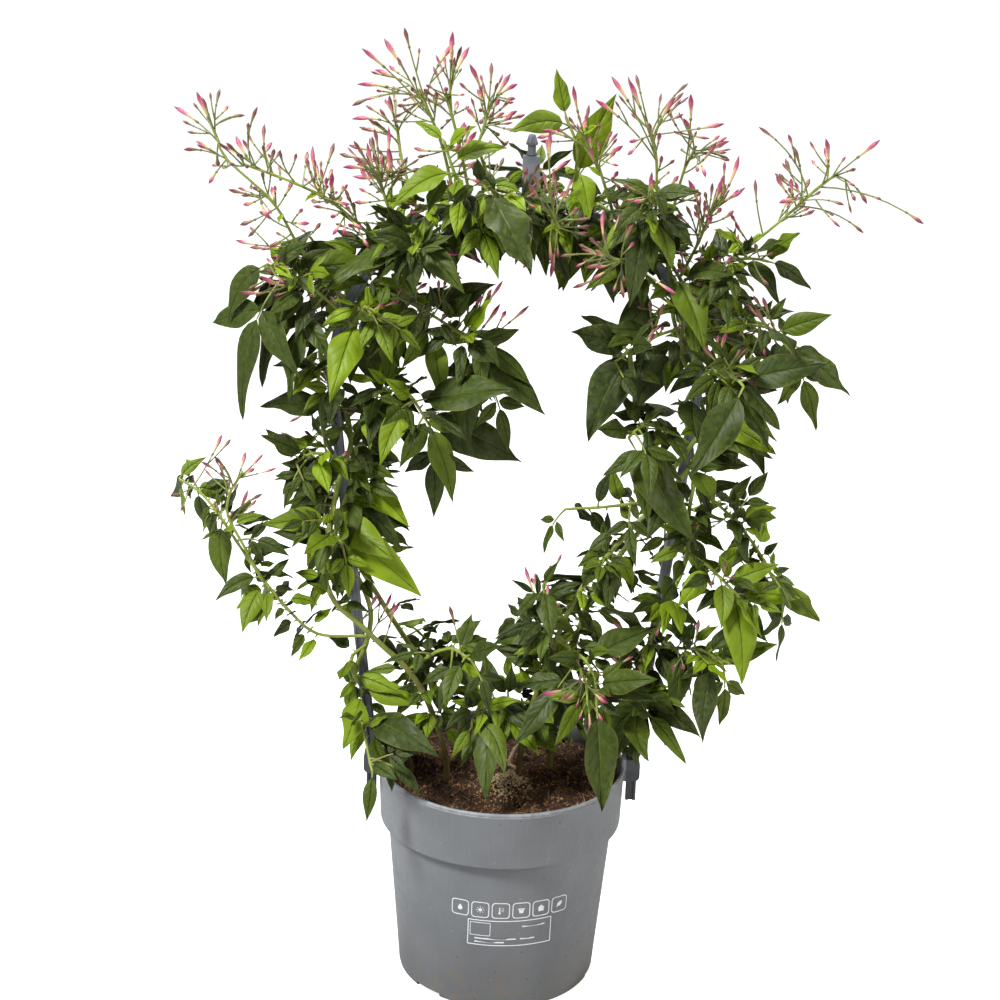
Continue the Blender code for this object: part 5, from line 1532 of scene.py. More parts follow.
def spray_piece(name, stem, buds):
    """One flower spray: its branching green axis, with buds of every age."""
    rng = random.Random("looks " + name)
    skin = Skin(BUD_VALUES)
    points = fine_points(stem)
    add_tube(skin, points, stem_radii(stem, points, *AXIS_GIRTH), 7, 1, blush=0.2)
    for bud in buds:
        ripe = rng.random() < (0.3 if name in SLOW_SPRAYS else 0.66)
        if ripe:
            add_bud(skin, bud, rng, rng.uniform(0.0, 0.15))
        else:
            add_bud(skin, bud._replace(share=bud.share * 0.68), rng, rng.uniform(0.5, 0.95), 0.8)
        for k in range(rng.choice((1, 1, 2, 2))):
            extra = companion(bud, rng)
            add_bud(skin, extra, rng, rng.uniform(0.1, 0.95), rng.uniform(0.5, 0.8))
    for k in range(2):
        add_bract(skin, points, 0.3 + 0.25 * k, rng)
    parts = ["bud_skin", "stem_skin", "leaf_top", "leaf_under"]
    return finish_piece(skin.piece("jasmine_" + name, parts), "bud_pink", name)


def add_bract(skin, points, share, rng):
    """A small young leaf on a spray's axis."""
    at = points[int(share * (len(points) - 1))]
    out = Vector((rng.uniform(-1, 1), rng.uniform(-1, 0.4), rng.uniform(-0.4, 0.6))).normalized()
    tip = at + out * rng.uniform(9.0, 15.0)
    curve = partial(bow, at, (at + tip) / 2 + Vector((0, 0, 2.0)), tip)
    before = len(skin.slots)
    up = blade_up(out, at, rng)
    add_blade(skin, Blade(curve, up, 12.0, rng.uniform(3.5, 5.5), 0.3), rng, 0.5, 0.8)
    skin.slots[before:] = [slot + 2 for slot in skin.slots[before:]]


def plain_piece(name, verts, faces, material, crease=PLAIN_CREASE):
    skin = Skin(())
    skin.add([Vector(v) for v in verts], faces, 0)
    made = skin.piece(name, [material], crease)
    shape = bmesh.new()
    shape.from_mesh(made.data)
    bmesh.ops.recalc_face_normals(shape, faces=shape.faces)
    shape.to_mesh(made.data)
    shape.free()
    return made


def bake(piece):
    """Work a piece's modifier into its mesh."""
    bpy.context.view_layer.update()
    result = bpy.data.meshes.new_from_object(piece.evaluated_get(bpy.context.evaluated_depsgraph_get()))
    piece.modifiers.clear()
    piece.data = result


def combine(piece, solids, operation):
    """Apply one Boolean with a collection of tools, then remove them."""
    tools = [plain_piece("tool", verts, faces, None) for verts, faces in solids]
    group = bpy.data.collections.new("tools")
    bpy.context.scene.collection.children.link(group)
    for tool in tools:
        bpy.context.scene.collection.objects.unlink(tool)
        group.objects.link(tool)
    cut = piece.modifiers.new("combine", "BOOLEAN")
    cut.operation = operation
    cut.operand_type = "COLLECTION"
    cut.collection = group
    bake(piece)
    for tool in tools:
        bpy.data.objects.remove(tool, do_unlink=True)
    bpy.data.collections.remove(group)


def soften(piece, width, crease=PLAIN_CREASE):
    """Small rounded edges, then smooth shading."""
    bevel = piece.modifiers.new("soften", "BEVEL")
    bevel.width = width * MM
    bevel.segments = 2
    bevel.limit_method = "ANGLE"
    bevel.angle_limit = radians(40)
    bevel.harden_normals = False
    bake(piece)
    shade(piece.data, crease)


def pot_profile():
    """The outline with its small roundings, from under the foot round to the floor inside."""
    foot, body, collar, rim = FOOT_RADIUS, BODY_TOP_RADIUS, COLLAR_FOOT_RADIUS, RIM_RADIUS
    step = POT_HEIGHT - COLLAR_HEIGHT
    top = POT_HEIGHT
    lip = rim - LIP_WIDTH
    return [
        (0.0, 0.0), (FOOT_DISC_RADIUS, 0.0), (FOOT_DISC_RADIUS + 3.0, CHANNEL_HEIGHT),
        (foot - 9.0, CHANNEL_HEIGHT), (foot - 7.0, 0.0), (foot - 2.2, 0.0), (foot - 1.0, 0.4),
        (foot - 0.2, 1.4), (foot + 0.2, 3.0), (body - 0.1, step - 1.6), (body + 0.6, step - 0.8),
        (collar - 1.0, step - 0.7), (collar - 0.2, step - 0.2), (collar, step + 1.0),
        (rim - 0.5, top - 5.0), (rim, top - 3.6), (rim, top - 2.5), (rim - 0.35, top - 2.2),
        (rim - 0.35, top - 1.9), (rim, top - 1.6), (rim, top - 0.8), (rim - 0.4, top - 0.2),
        (rim - 0.9, top), (lip + 0.6, top), (lip + 0.1, top - 0.3), (lip, top - 0.9),
        (collar - WALL - 0.3, step + 4.0), (body - WALL, step + 1.9), (foot - WALL, FLOOR), (0.0, FLOOR),
    ]


def prism(outline, width):
    """Points and faces of an outline in the X-Z plane, thickened evenly to both sides."""
    count = len(outline)
    verts = [(x, y, z) for y in (-width / 2, width / 2) for x, z in outline]
    faces = [tuple(range(count)), tuple(range(count, 2 * count))]
    for k in range(count):
        n = (k + 1) % count
        faces.append((k, n, n + count, k + count))
    return verts, faces


def ear(side):
    """The loop that the hoop's tail drops through: a block and the slot in it."""
    inner = COLLAR_FOOT_RADIUS - EAR_LAP
    outer = TAIL_X + STRIP_WIDTH / 2 + CLEAR + EAR_WALL
    top = POT_HEIGHT + EAR_RISE
    low = top - EAR_LENGTH
    outline = [(side * inner, low)] + [(side * (outer - a), low + b) for a, b in EAR_ROUND[::-1]]
    outline += [(side * (outer - a), top - b) for a, b in EAR_ROUND] + [(side * inner, top)]
    half = STRIP_WIDTH / 2 + CLEAR
    depth = STRIP_DEPTH / 2 + CLEAR
    slot = box((side * TAIL_X - half, -depth, low - OVERCUT), (side * TAIL_X + half, depth, top + OVERCUT))
    return prism(outline, EAR_WIDTH), slot


def pot_piece():
    pot = plain_piece("jasmine_pot", *turned(pot_profile(), POT_SIDES), "pot_skin")
    loops = [ear(-1), ear(1)]
    combine(pot, [block for block, slot in loops], "UNION")
    cutters = [slot for block, slot in loops]
    for k in range(DRAIN_COUNT):
        turn = 2.0 * pi * (k + DRAIN_TURN) / DRAIN_COUNT
        centre = (DRAIN_RING * cos(turn), DRAIN_RING * sin(turn))
        cutters.append(drum(centre, DRAIN_RADIUS, -OVERCUT, FLOOR + OVERCUT, 32))
    for k in range(SLOT_COUNT):
        verts, faces = box((FOOT_RADIUS - 12.0, -SLOT_WIDTH / 2, -OVERCUT),
                           (FOOT_RADIUS + OVERCUT, SLOT_WIDTH / 2, CHANNEL_HEIGHT + 0.4))
        turn = radians(SLOT_AZIMUTH) + 2.0 * pi * k / SLOT_COUNT
        verts = [(x * cos(turn) - y * sin(turn), x * sin(turn) + y * cos(turn), z)
                 for x, y, z in verts]
        cutters.append((verts, faces))
    combine(pot, cutters, "DIFFERENCE")
    shade(pot.data, PLAIN_CREASE)
    return finish_piece(pot, "pot_plastic", "pot")


def soil_height(x, y):
    """Lumpy peat, with one raised pale clod at the front."""
    bumps = noise.noise(Vector((x / 17.0, y / 17.0, 3.1))) * 3.2
    away = hypot(x - CLOD_AT[0], y - CLOD_AT[1]) / CLOD_SPREAD
    return SOIL_TOP + bumps + CLOD_HEIGHT * exp(-away * away)


def crumbled(x, y):
    """The same surface with its crumbs."""
    rough = 0.0
    for scale, size in ((8.0, 2.8), (3.6, 2.2), (1.9, 1.1)):
        rough += size * noise.noise(Vector((x / scale, y / scale, 7.7)))
    return soil_height(x, y) + rough


def soil_piece():
    floor = FLOOR + CLEAR
    collar_foot = POT_HEIGHT - COLLAR_HEIGHT
    top_radius = COLLAR_FOOT_RADIUS - WALL - 0.3 - 2.0 * CLEAR
    outline = ((FOOT_RADIUS - WALL - CLEAR, floor),
               (BODY_TOP_RADIUS - WALL - 2.0 * CLEAR, collar_foot + 2.5), (top_radius, collar_foot + 5.2))
    verts = [(0.0, 0.0, floor)]
    rings = []
    for radius, height in outline:
        rings.append(len(verts))
        verts += [(x, y, height) for x, y in round_about(radius, SOIL_SIDES)]
    for ring in range(SOIL_RINGS, 0, -1):
        rings.append(len(verts))
        spots = round_about(top_radius * ring / SOIL_RINGS, SOIL_SIDES)
        verts += [(x, y, crumbled(x, y)) for x, y in spots]
    verts.append((0.0, 0.0, crumbled(0.0, 0.0)))
    faces = []
    for k in range(SOIL_SIDES):
        n = (k + 1) % SOIL_SIDES
        faces.append((0, rings[0] + n, rings[0] + k))
        faces.append((len(verts) - 1, rings[-1] + k, rings[-1] + n))
        for low, high in zip(rings, rings[1:]):
            faces.append((low + k, low + n, high + n, high + k))
    soil = plain_piece("jasmine_peat", verts, faces, "peat_skin", 60.0)
    return finish_piece(soil, "peat", "soil")


LITTER_COUNT = 2600
GRIT_COUNT = 1300


def add_crumb(skin, at, size, rng, tone):
    verts = []
    for axis in ((1, 0, 0), (-1, 0, 0), (0, 1, 0), (0, -1, 0), (0, 0, 1), (0, 0, -1)):
        verts.append(at + Vector(axis) * size * rng.uniform(0.5, 1.2))
    turn = Euler([rng.uniform(0, FULL_TURN) for k in range(3)]).to_matrix()
    verts = [at + turn @ (v - at) for v in verts]
    faces = [(0, 2, 4), (2, 1, 4), (1, 3, 4), (3, 0, 4), (2, 0, 5), (1, 2, 5), (3, 1, 5), (0, 3, 5)]
    skin.add(verts, faces, 0, tone=tone)


def add_fibre(skin, at, rng, tone, reach):
    heading = Vector((rng.uniform(-1, 1), rng.uniform(-1, 1), rng.uniform(-0.1, 0.5))).normalized()
    points = [at]
    for k in range(4):
        heading = (heading + stray(rng, 0.5)).normalized()
        step = points[-1] + heading * reach / 4
        step.z = max(step.z, crumbled(step.x, step.y) + 0.2)
        points.append(step)
    add_tube(skin, points, taper(5, 0.28, 0.12), 3, 0, tone=tone)


def litter_piece():
    """Crumbs, bark chips and root fibres strewn over the peat."""
    rng = random.Random("litter")
    skin = Skin(("tone",))
    limit = COLLAR_FOOT_RADIUS - WALL - 4.0
    for k in range(LITTER_COUNT):
        turn = rng.uniform(0, FULL_TURN)
        radius = limit * sqrt(rng.random())
        x, y = radius * cos(turn), radius * sin(turn)
        at = Vector((x, y, crumbled(x, y) + 0.2))
        tone = rng.random() ** 2.2
        if k % 5 < 3:
            add_crumb(skin, at, rng.uniform(0.4, 1.9), rng, tone)
        else:
            add_fibre(skin, at, rng, tone, rng.uniform(4.0, 12.0))
    return finish_piece(skin.piece("peat_litter", ["litter_skin"], 20.0), "peat")


def clod_piece():
    """Pale gritty grains that cover the raised clod."""
    rng = random.Random("clod")
    skin = Skin(("tone",))
    for k in range(GRIT_COUNT):
        x = CLOD_AT[0] + rng.gauss(0, 7.5)
        y = CLOD_AT[1] + rng.gauss(0, 8.0)
        size = rng.uniform(0.35, 1.15)
        at = Vector((x, y, crumbled(x, y) + size * 0.4))
        add_crumb(skin, at, size, rng, rng.random() ** 0.8)
    return finish_piece(skin.piece("pale_clod", ["grit_skin"], 20.0), "peat")


def add_twig(skin, root, steps, thick, thin, sides):
    """A tapering twig from its root through steps away from it."""
    points = smooth_route([root] + [root + Vector(step) for step in steps], 3.0)
    add_tube(skin, points, taper(len(points), thick, thin), sides, 0)
    return points


def stub_piece():
    skin = Skin(())
    root = Vector((4.0, 14.0, SOIL_TOP - 2.0))
    wood = add_twig(skin, root, ((3, 3, 9), (9, 7, 22), (13, 12, 36)), 1.9, 0.8, 8)
    add_twig(skin, wood[2], ((-6, -3, -1), (-11, -8, -6)), 1.1, 0.5, 7)
    add_twig(skin, wood[1], ((4, -4, 0), (6, -7, -4)), 1.3, 0.9, 7)
    return finish_piece(skin.piece("dry_stub", ["dry_wood"]), "vine_stem")


def strip_section():
    """Half width and depth pairs round the grooved strip, with its corners taken off."""
    w = STRIP_WIDTH / 2
    d = STRIP_DEPTH / 2
    g = GROOVE_WIDTH / 2
    b = d - GROOVE_DEPTH
    c = 0.45
    front = [(-w, -d + c), (-w + c, -d), (-g - c, -d), (-g, -d + c), (-g, -b),
             (g, -b), (g, -d + c), (g + c, -d), (w - c, -d), (w, -d + c)]
    return front + [(-across, -depth) for across, depth in front]


def swept_strip(stations):
    """The grooved strip along (middle, outward) stations."""
    section = strip_section()
    count = len(section)
    verts = []
    for middle, outward in stations:
        for across, depth in section:
            verts.append(tuple(middle + outward * across + Vector((0.0, depth, 0.0))))
    faces = [tuple(range(count)), tuple(range(len(verts) - 1, len(verts) - 1 - count, -1))]
    return verts, faces + tube_faces(len(stations), count)


def half_stations(side, stop):
    """Stations from the tail below the ear to a distance short of the hub's middle."""
    half = hoop_length() / 2 - stop
    marks = [leg_length() * share for share in (0.33, 0.66, 1.0)]
    marks += [leg_length() + (half - leg_length()) * (k + 1) / ARCH_BENDS for k in range(ARCH_BENDS)]
    stations = [(Vector((-TAIL_X, 0.0, TAIL_BOTTOM)), Vector((-1.0, 0.0, 0.0))),
                (Vector((-TAIL_X, 0.0, TAIL_TOP + 3.0)), Vector((-1.0, 0.0, 0.0)))]
    stations += [hoop_point(mark) for mark in marks]
    if side > 0:
        stations = [(Vector((-p.x, p.y, p.z)), Vector((-o.x, o.y, o.z))) for p, o in stations]
    return stations


def hoop_pieces():
    """Two strips that meet in a hub at the crown, and the snap pin in the hub."""
    crown = hoop_point(hoop_length() / 2)[0].z
    low = crown - HUB_DROP
    high = low + HUB_HEIGHT
    start = HUB_X - HUB_WIDTH / 2
    end = HUB_X + HUB_WIDTH / 2
    depth = HUB_DEPTH / 2
    strip = swept_strip(half_stations(-1, -start - LEFT_LAP))
    left = plain_piece("jasmine_hoop_left", *strip, "hoop_skin")
    combine(left, [box((start, -depth, low), (end, depth, high))], "UNION")
    soften(left, 0.6)
    finish_piece(left, "hoop_plastic", "hoop_left")
    strip = swept_strip(half_stations(1, end - RIGHT_LAP))
    right = plain_piece("jasmine_hoop_right", *strip, "hoop_skin")
    finish_piece(right, "hoop_plastic", "hoop_right")
    top = high + PIN_RISE
    head = top - PIN_HEAD_HEIGHT
    rim = PIN_HEAD_RADIUS
    core = PIN_RADIUS
    profile = [(0.0, high - 4.0), (core, high - 4.0), (core, high + 0.3), (core + 0.7, high + 0.6),
               (core + 0.7, high + 1.6), (core, high + 2.0), (core, head - 0.1), (rim - 0.2, head),
               (rim, head + 0.3), (rim, head + 1.0), (rim - 0.2, head + 1.5),
               (PIN_TIP_RADIUS + 0.2, top - 0.6), (PIN_TIP_RADIUS - 0.3, top - 0.1), (0.0, top)]
    verts, faces = turned(profile, 40)
    pin = plain_piece("jasmine_hoop_pin", [(x + HUB_X, y, z) for x, y, z in verts], faces, "hoop_skin")
    finish_piece(pin, "hoop_plastic", "hoop_pin")


PRINT_AZIMUTH = -82.9
PRINT_THICKNESS = 0.12
PRINT_PITCH = 13.9
PRINT_HEIGHT = 79.0
LABEL_DROP = 18.0


def on_pot(across, height, lift=0.0):
    """A point on the pot, that far round from the print's middle line and that high."""
    slope = (BODY_TOP_RADIUS - 0.1 - FOOT_RADIUS - 0.2) / (POT_HEIGHT - COLLAR_HEIGHT - 4.6)
    radius = FOOT_RADIUS + 0.2 + slope * (height - 3.0) + lift
    turn = radians(PRINT_AZIMUTH) + across / radius
    return Vector((radius * cos(turn), radius * sin(turn), height))


def divided(loop, counts):
    """An outline with more points, to follow the pot's curve."""
    out = []
    for k, (x, z) in enumerate(loop):
        u, w = loop[(k + 1) % len(loop)]
        out += [(x + (u - x) * j / counts[k], z + (w - z) * j / counts[k]) for j in range(counts[k])]
    return out


def add_print(skin, outer, inner=None):
    """A printed shape, or the band between two like outlines, as a thin plate on the pot."""
    counts = [max(1, round(dist(a, b) / 2.0)) for a, b in zip(outer, outer[1:] + outer[:1])]
    loops = [divided(loop, counts) for loop in ((outer, inner) if inner else (outer,))]
    count = len(loops[0])
    verts = []
    for lift in (PRINT_THICKNESS, -0.3):
        for loop in loops:
            verts += [on_pot(x, z, lift) for x, z in loop]
    under = count * len(loops)
    faces = []
    for k in range(count):
        n = (k + 1) % count
        faces.append((k, n, under + n, under + k))
        if inner:
            faces.append((k, k + count, n + count, n))
            faces.append((under + k, under + n, under + n + count, under + k + count))
            faces.append((k + count, under + k + count, under + n + count, n + count))
    if not inner:
        faces.append(tuple(range(count))[::-1])
        faces.append(tuple(range(under, under + count)))
    skin.add(verts, faces, 0)


def rounded(cx, cz, half_x, half_z, corner):
    """A rounded rectangle's outline."""
    points = []
    for k in range(4):
        sx, sz = ((1, 1), (-1, 1), (-1, -1), (1, -1))[k]
        for j in range(5):
            turn = pi / 2 * (k + j / 4)
            points.append((cx + sx * (half_x - corner) + corner * cos(turn),
                           cz + sz * (half_z - corner) + corner * sin(turn)))
    return points


def dot(cx, cz, radius, sides=16):
    return [(cx + radius * cos(turn), cz + radius * sin(turn)) for turn in turns(sides)]


def bar(cx, cz, half_x, half_z, turn=0.0):
    corners = ((1, 1), (0, 1), (-1, 1), (-1, -1), (0, -1), (1, -1))
    c, s = cos(turn), sin(turn)
    return [(cx + x * half_x * c - z * half_z * s, cz + x * half_x * s + z * half_z * c) for x, z in corners]


def drop(cx, cz, size):
    points = []
    for k in range(16):
        turn = 2 * pi * k / 16 + pi / 2
        stretch = 1.0 + 0.7 * max(0.0, sin(turn)) ** 4
        points.append((cx + size * cos(turn) * (1.0 - 0.25 * max(0.0, sin(turn))),
                       cz + size * sin(turn) * stretch))
    return points


def print_piece():
    """Six plain care signs in rounded squares, over an empty frame."""
    skin = Skin(())
    for k in range(6):
        cx = (k - 2.5) * PRINT_PITCH
        add_print(skin, rounded(cx, PRINT_HEIGHT, 6.1, 6.1, 2.4), rounded(cx, PRINT_HEIGHT, 5.5, 5.5, 1.9))
        sign(skin, k, cx, PRINT_HEIGHT)
    low = PRINT_HEIGHT - LABEL_DROP
    add_print(skin, rounded(0.0, low, 29.0, 10.0, 0.6), rounded(0.0, low, 28.4, 9.4, 0.4))
    add_print(skin, rounded(-20.4, low + 2.8, 7.0, 5.2, 0.4), rounded(-20.4, low + 2.8, 6.6, 4.8, 0.3))
    for cx, rise, half in ((16.0, 5.2, 8.0), (-10.0, -4.6, 14.0), (12.0, -4.6, 5.0), (-14.0, -7.2, 10.0)):
        add_print(skin, bar(cx, low + rise, half, 0.5))
    finish_piece(skin.piece("care_print", ["pale_ink"], 30.0), "pot_plastic")


# The signs that are drawn by their corners: a pot and its rim, a house, and a leaf.
SIGN_OUTLINES = {
    3: (((1.8, 0.4), (-1.8, 0.4), (-1.3, -2.2), (1.3, -2.2)),
        ((2.3, 1.5), (0.0, 1.5), (-2.3, 1.5), (-2.3, 0.7), (0.0, 0.7), (2.3, 0.7))),
    4: (((0.0, 2.6), (-2.6, 0.3), (-1.9, 0.3), (-1.9, -2.2), (1.9, -2.2), (1.9, 0.3), (2.6, 0.3)),),
    5: (((2.2, 2.2), (0.2, 1.9), (-1.5, 0.6), (-1.7, -0.9), (-2.4, -2.2), (-0.9, -1.6), (0.8, -1.3),
         (2.0, 0.3)),),
}


def sign(skin, kind, cx, cz):
    """A drop, a sun, a gauge, a pot, a house or a leaf."""
    if kind == 0:
        add_print(skin, drop(cx, cz - 0.5, 1.7))
    elif kind == 1:
        add_print(skin, dot(cx, cz, 1.2))
        for k in range(8):
            turn = pi / 4 * k
            add_print(skin, bar(cx + 2.3 * cos(turn), cz + 2.3 * sin(turn), 0.55, 0.16, turn))
    elif kind == 2:
        add_print(skin, bar(cx - 0.8, cz + 0.5, 0.35, 2.1))
        add_print(skin, dot(cx - 0.8, cz - 1.9, 0.85))
        for k in range(3):
            add_print(skin, bar(cx + 1.2, cz + 1.8 - 1.2 * k, 0.8, 0.16))
    else:
        for outline in SIGN_OUTLINES[kind]:
            add_print(skin, [(cx + x, cz + z) for x, z in outline])


# Where the foliage is thick: the middle and the half sizes in X and Z, how many small leaves are added
# there, and the share of them that are young and bright.
THICKETS = (
    (-111, 474, 66, 56, 140, 0.35), (-55, 525, 50, 34, 100, 0.35), (20, 512, 64, 24, 120, 0.25),
    (80, 520, 66, 38, 160, 0.25), (131, 464, 44, 48, 90, 0.2), (146, 383, 40, 64, 90, 0.25),
    (139, 285, 46, 40, 60, 0.4), (70, 306, 32, 28, 40, 0.1), (94, 354, 24, 30, 24, 0.1),
    (78, 420, 18, 34, 16, 0.1), (-104, 389, 40, 44, 70, 0.35), (-88, 322, 34, 38, 54, 0.4),
    (-180, 340, 40, 26, 46, 0.2), (-136, 285, 42, 42, 60, 0.5), (20, 226, 100, 40, 220, 0.22),
    (126, 222, 40, 28, 40, 0.3), (-81, 196, 26, 40, 40, 0.3), (-24, 425, 24, 36, 24, 0.2),
    (24, 190, 90, 20, 80, 0.2), (50, 262, 70, 26, 70, 0.15), (0, 536, 60, 12, 60, 0.35),
)
# Where small clusters of buds stand among the leaves: the middle and half sizes in X and Z, and how many.
BUD_PATCHES = (
    (-150, 550, 44, 24, 20), (-105, 545, 38, 30, 26), (-60, 572, 40, 42, 26), (-25, 578, 30, 36, 18),
    (40, 555, 44, 34, 16), (85, 570, 36, 36, 16), (60, 520, 40, 20, 12), (110, 530, 34, 24, 14),
    (135, 480, 34, 30, 10), (165, 440, 20, 34, 6), (-20, 470, 30, 20, 5), (120, 330, 34, 30, 6),
    (50, 250, 50, 26, 10), (110, 250, 36, 20, 6), (-190, 350, 34, 24, 10), (20, 290, 30, 24, 5),
    (-60, 290, 26, 20, 4), (-120, 400, 30, 30, 6), (-150, 490, 40, 40, 24), (-90, 500, 40, 30, 14),
    (110, 480, 50, 36, 20), (60, 500, 50, 24, 14), (0, 500, 40, 24, 10), (140, 560, 34, 30, 12),
    (165, 560, 24, 40, 6),
)

# How small leaves and buds grow in those places. In depth: the middle, how far most of them and all of
# them are from it. On the stems: how many near places each chooses from, and how near they are. Then the
# tries, the least length, the range of the most, the share lost at each try, how far it leans away from
# the stem and up, and how far out its foot is and how wide.
Habit = namedtuple("Habit", "middle most all choices near tries least short long loss away up root foot")
SMALL_LEAF = Habit(-8.0, 30.0, SPREAD, 5, 78.0, 14, 26.0, 42.0, 60.0, 0.03, 0.7, 0.25, 3.6, 0.5)
SMALL_BUD = Habit(-14.0, 24.0, 70.0, 6, 62.0, 10, 20.0, 30.0, 52.0, 0.0, 0.4, 0.2, 3.0, 0.4)


def stations_of(rows):
    """Points along every stem from which something small can grow."""
    found = []
    for node, stem, *rest in rows:
        points = fine_points(stem)
        for k in range(1, len(points) - 1):
            if points[k].z > SOIL_TOP + 20.0:
                found.append((node, points[k], (points[k + 1] - points[k]).normalized()))
    return found


def starts(habit, at, ahead, goal, rng):
    """Ways to start from a place on a stem towards a goal, each further astray."""
    for attempt in range(habit.tries):
        reach = goal - at + stray(rng, 3, attempt)
        length = min(max(reach.length, habit.least), rng.uniform(habit.short, habit.long))
        away = (reach - ahead * reach.dot(ahead)).normalized()
        out = reach.normalized()
        heading = (out + away * habit.away + Vector((0, 0, habit.up))).normalized()
        side = heading.orthogonal().normalized()
        up = heading.cross(side)
        base = [at + heading * habit.root + (side * cos(turn) + up * sin(turn)) * habit.foot
                for turn in (0.0, THIRD_TURN, 2 * THIRD_TURN)]
        yield out, length * (1.0 - habit.loss * attempt), heading, base


def has_room(bed, verts, faces):
    """Whether a small leaf or bud is clear of all the rest. If so, it takes its place."""
    if bed.blocked("", verts, faces):
        return False
    bed.add("small", verts, faces)
    return True


def small_leaf(bed, at, ahead, goal, rng):
    for out, length, heading, base in starts(SMALL_LEAF, at, ahead, goal, rng):
        tip = at + out * length - Vector((0, 0, 0.16 * length))
        pairs = rng.choice((0, 0, 0, 0, 1, 1, 2)) if length > 36.0 else 0
        normal = blade_up((tip - at).normalized(), at, rng)
        verts, faces, leaf = compound_leaf(base, heading, tip, normal, pairs, rng.uniform(0.38, 0.5), rng)
        if has_room(bed, verts, faces):
            return leaf._replace(start=at)
    return None


def small_bud(bed, at, ahead, goal, rng):
    for out, length, heading, base in starts(SMALL_BUD, at, ahead, goal, rng):
        tip = at + (out + Vector((0, 0, 0.3))).normalized() * length
        verts, faces, bud = spray_bud(base, heading, tip, rng)
        if has_room(bed, verts, faces):
            return bud._replace(start=at)
    return None


def scattered(bed, rows, title, patches, habit, grow_one):
    """What grows in the patches, by the node that carries it, and whether it is young."""
    found = stations_of(rows)
    grown = defaultdict(list)
    for number, (x, z, wide, tall, count, *fresh) in enumerate(patches):
        rng = random.Random("%s %d" % (title, number))
        for k in range(count):
            turn = rng.uniform(0, FULL_TURN)
            size = sqrt(rng.random())
            depth = max(-habit.all, min(habit.all, rng.gauss(habit.middle, habit.most)))
            goal = Vector((x + wide * size * cos(turn), depth, z + tall * size * sin(turn)))
            close = sorted(found, key=lambda one: (one[1] - goal).length_squared)[:habit.choices]
            close = [one for one in close if (one[1] - goal).length < habit.near]
            if not close:
                continue
            node, at, ahead = rng.choice(close)
            made = grow_one(bed, at, ahead, goal, rng)
            if made:
                grown[node].append((made, *[rng.random() < share for share in fresh]))
    return grown


def cluster_piece(node, buds):
    """The buds that stand among the leaves of one stem."""
    rng = random.Random("cluster " + node)
    skin = Skin(BUD_VALUES)
    for bud, in buds:
        unripe = max(0.0, rng.uniform(-0.6, 0.95))
        add_bud(skin, bud._replace(share=bud.share * (1.0 - 0.35 * unripe)), rng, unripe, 0.9)
        for k in range(rng.choice((0, 1, 1, 2))):
            other = companion(bud, rng)
            dull = min(0.9, unripe + rng.uniform(0.0, 0.5))
            add_bud(skin, other, rng, dull, rng.uniform(0.6, 0.85))
    return finish_piece(skin.piece("jasmine_buds_" + node, ["bud_skin"]), "bud_pink")


CAMERA_PLACE = (-0.0071, -1.3, 0.771)
CAMERA_PITCH = 18.2
CAMERA_ROLL = 1.85
CAMERA_LENS = 74.27
FLOOR_REACH = 60.0


def make_camera():
    data = bpy.data.cameras.new("camera")
    data.lens = CAMERA_LENS
    data.sensor_width = 36.0
    camera = new_object("camera", data)
    tilt = Euler((radians(90.0 - CAMERA_PITCH), 0.0, 0.0)).to_matrix()
    roll = Matrix.Rotation(radians(CAMERA_ROLL), 3, "Z")
    camera.matrix_world = Matrix.Translation(CAMERA_PLACE) @ (tilt @ roll).to_4x4()
    bpy.context.scene.camera = camera


def make_light(name, place, target, size, power, tint=(1.0, 1.0, 1.0)):
    data = bpy.data.lights.new(name, "AREA")
    data.color = tint
    data.size = size
    data.energy = power
    light = new_object(name, data)
    light.location = place
    light.rotation_euler = (Vector(target) - Vector(place)).to_track_quat("-Z", "Y").to_euler()


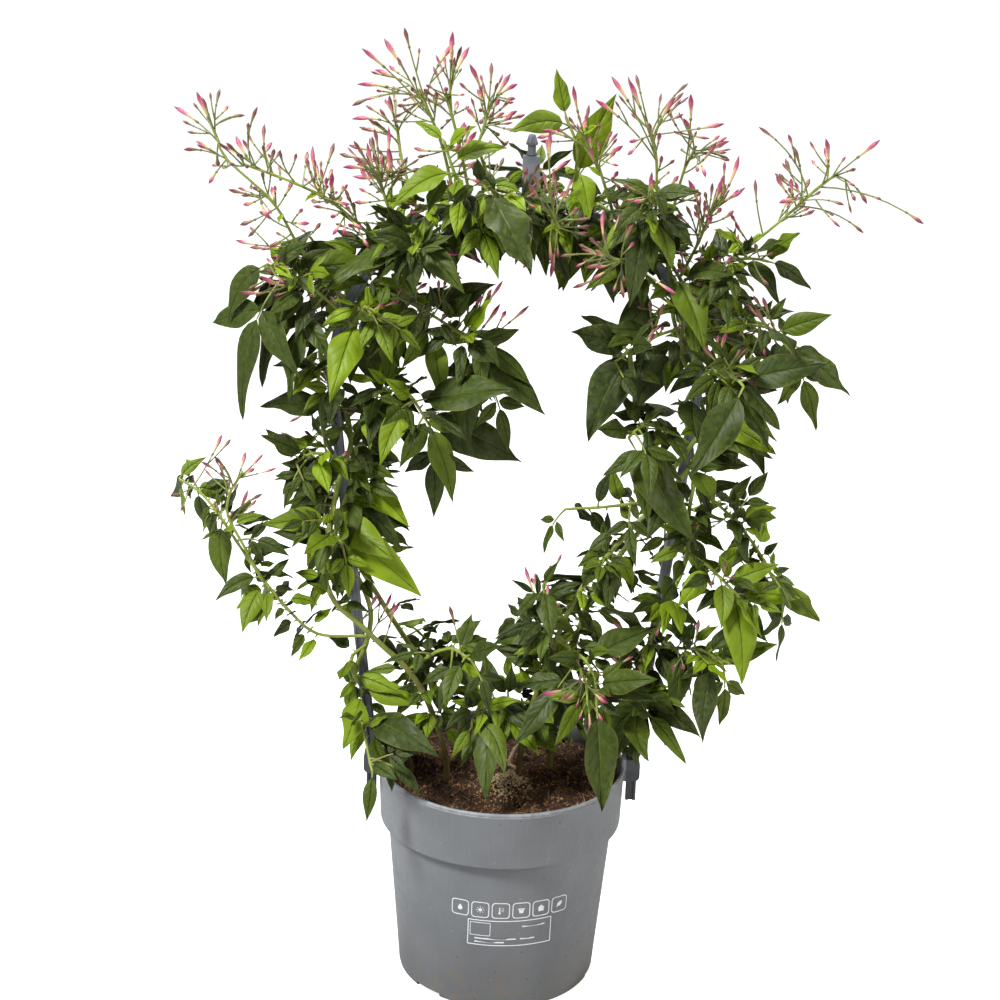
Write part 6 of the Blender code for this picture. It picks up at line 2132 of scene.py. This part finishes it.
def make_studio():
    """A white floor, even white surroundings and soft light from above and in front."""
    mesh = bpy.data.meshes.new("studio_floor")
    corners = [(x * FLOOR_REACH, y * FLOOR_REACH, 0) for x, y in ((-1, -1), (1, -1), (1, 1), (-1, 1))]
    mesh.from_pydata(corners, [], [(0, 1, 2, 3)])
    g = new_material("studio_white")
    seen = g.add("ShaderNodeLightPath")
    g.surface(Base_Color=(0.6, 0.6, 0.6), Roughness=1.0, Specular_IOR_Level=0.0,
              Emission_Color=(1.0, 1.0, 1.0), Emission_Strength=g.times(seen, 0.9))
    mesh.materials.append(bpy.data.materials["studio_white"])
    new_object("studio_floor", mesh)
    world = bpy.data.worlds.new("studio")
    world.use_nodes = True
    g = Graph(world.node_tree)
    power = g.add("ShaderNodeMapRange", {0: g.add("ShaderNodeLightPath"), "To Min": 0.16, "To Max": 1.02})
    background = world.node_tree.nodes["Background"]
    g.fill(background.inputs["Color"], (1.0, 1.0, 1.0))
    g.fill(background.inputs["Strength"], power)
    bpy.context.scene.world = world
    middle = (0.0, 0.0, 0.35)
    make_light("key", (-1.2, -1.1, 2.1), middle, 0.5, 84.0)
    make_light("fill", (1.8, -0.9, 1.2), middle, 0.9, 20.0, (1.0, 0.92, 0.84))
    make_light("top", (0.2, 0.6, 2.2), middle, 0.7, 42.0)
    bpy.context.scene.view_settings.view_transform = "Standard"
    bpy.context.scene.view_settings.look = "None"


def main():
    make_materials()
    bed = Bed()
    for node in ("pot", "soil", "hoop_left", "hoop_right", "hoop_pin"):
        bed.add_object(frame["nodes"][node])
    for low, high in OPENINGS:
        bed.add("way", *box(low, high))
    leafy, budded = grow(bed)
    clusters = scattered(bed, leafy + budded, "patch", BUD_PATCHES, SMALL_BUD, small_bud)
    extras = scattered(bed, leafy, "thicket", THICKETS, SMALL_LEAF, small_leaf)
    for node, stem, fresh, leaves in leafy:
        leafy_piece(node, stem, fresh, leaves, extras[node])
    for node, stem, buds in budded:
        spray_piece(node, stem, buds)
    for node, buds in clusters.items():
        cluster_piece(node, buds)
    pot_piece()
    soil_piece()
    litter_piece()
    clod_piece()
    stub_piece()
    hoop_pieces()
    print_piece()
    make_camera()
    make_studio()


main()
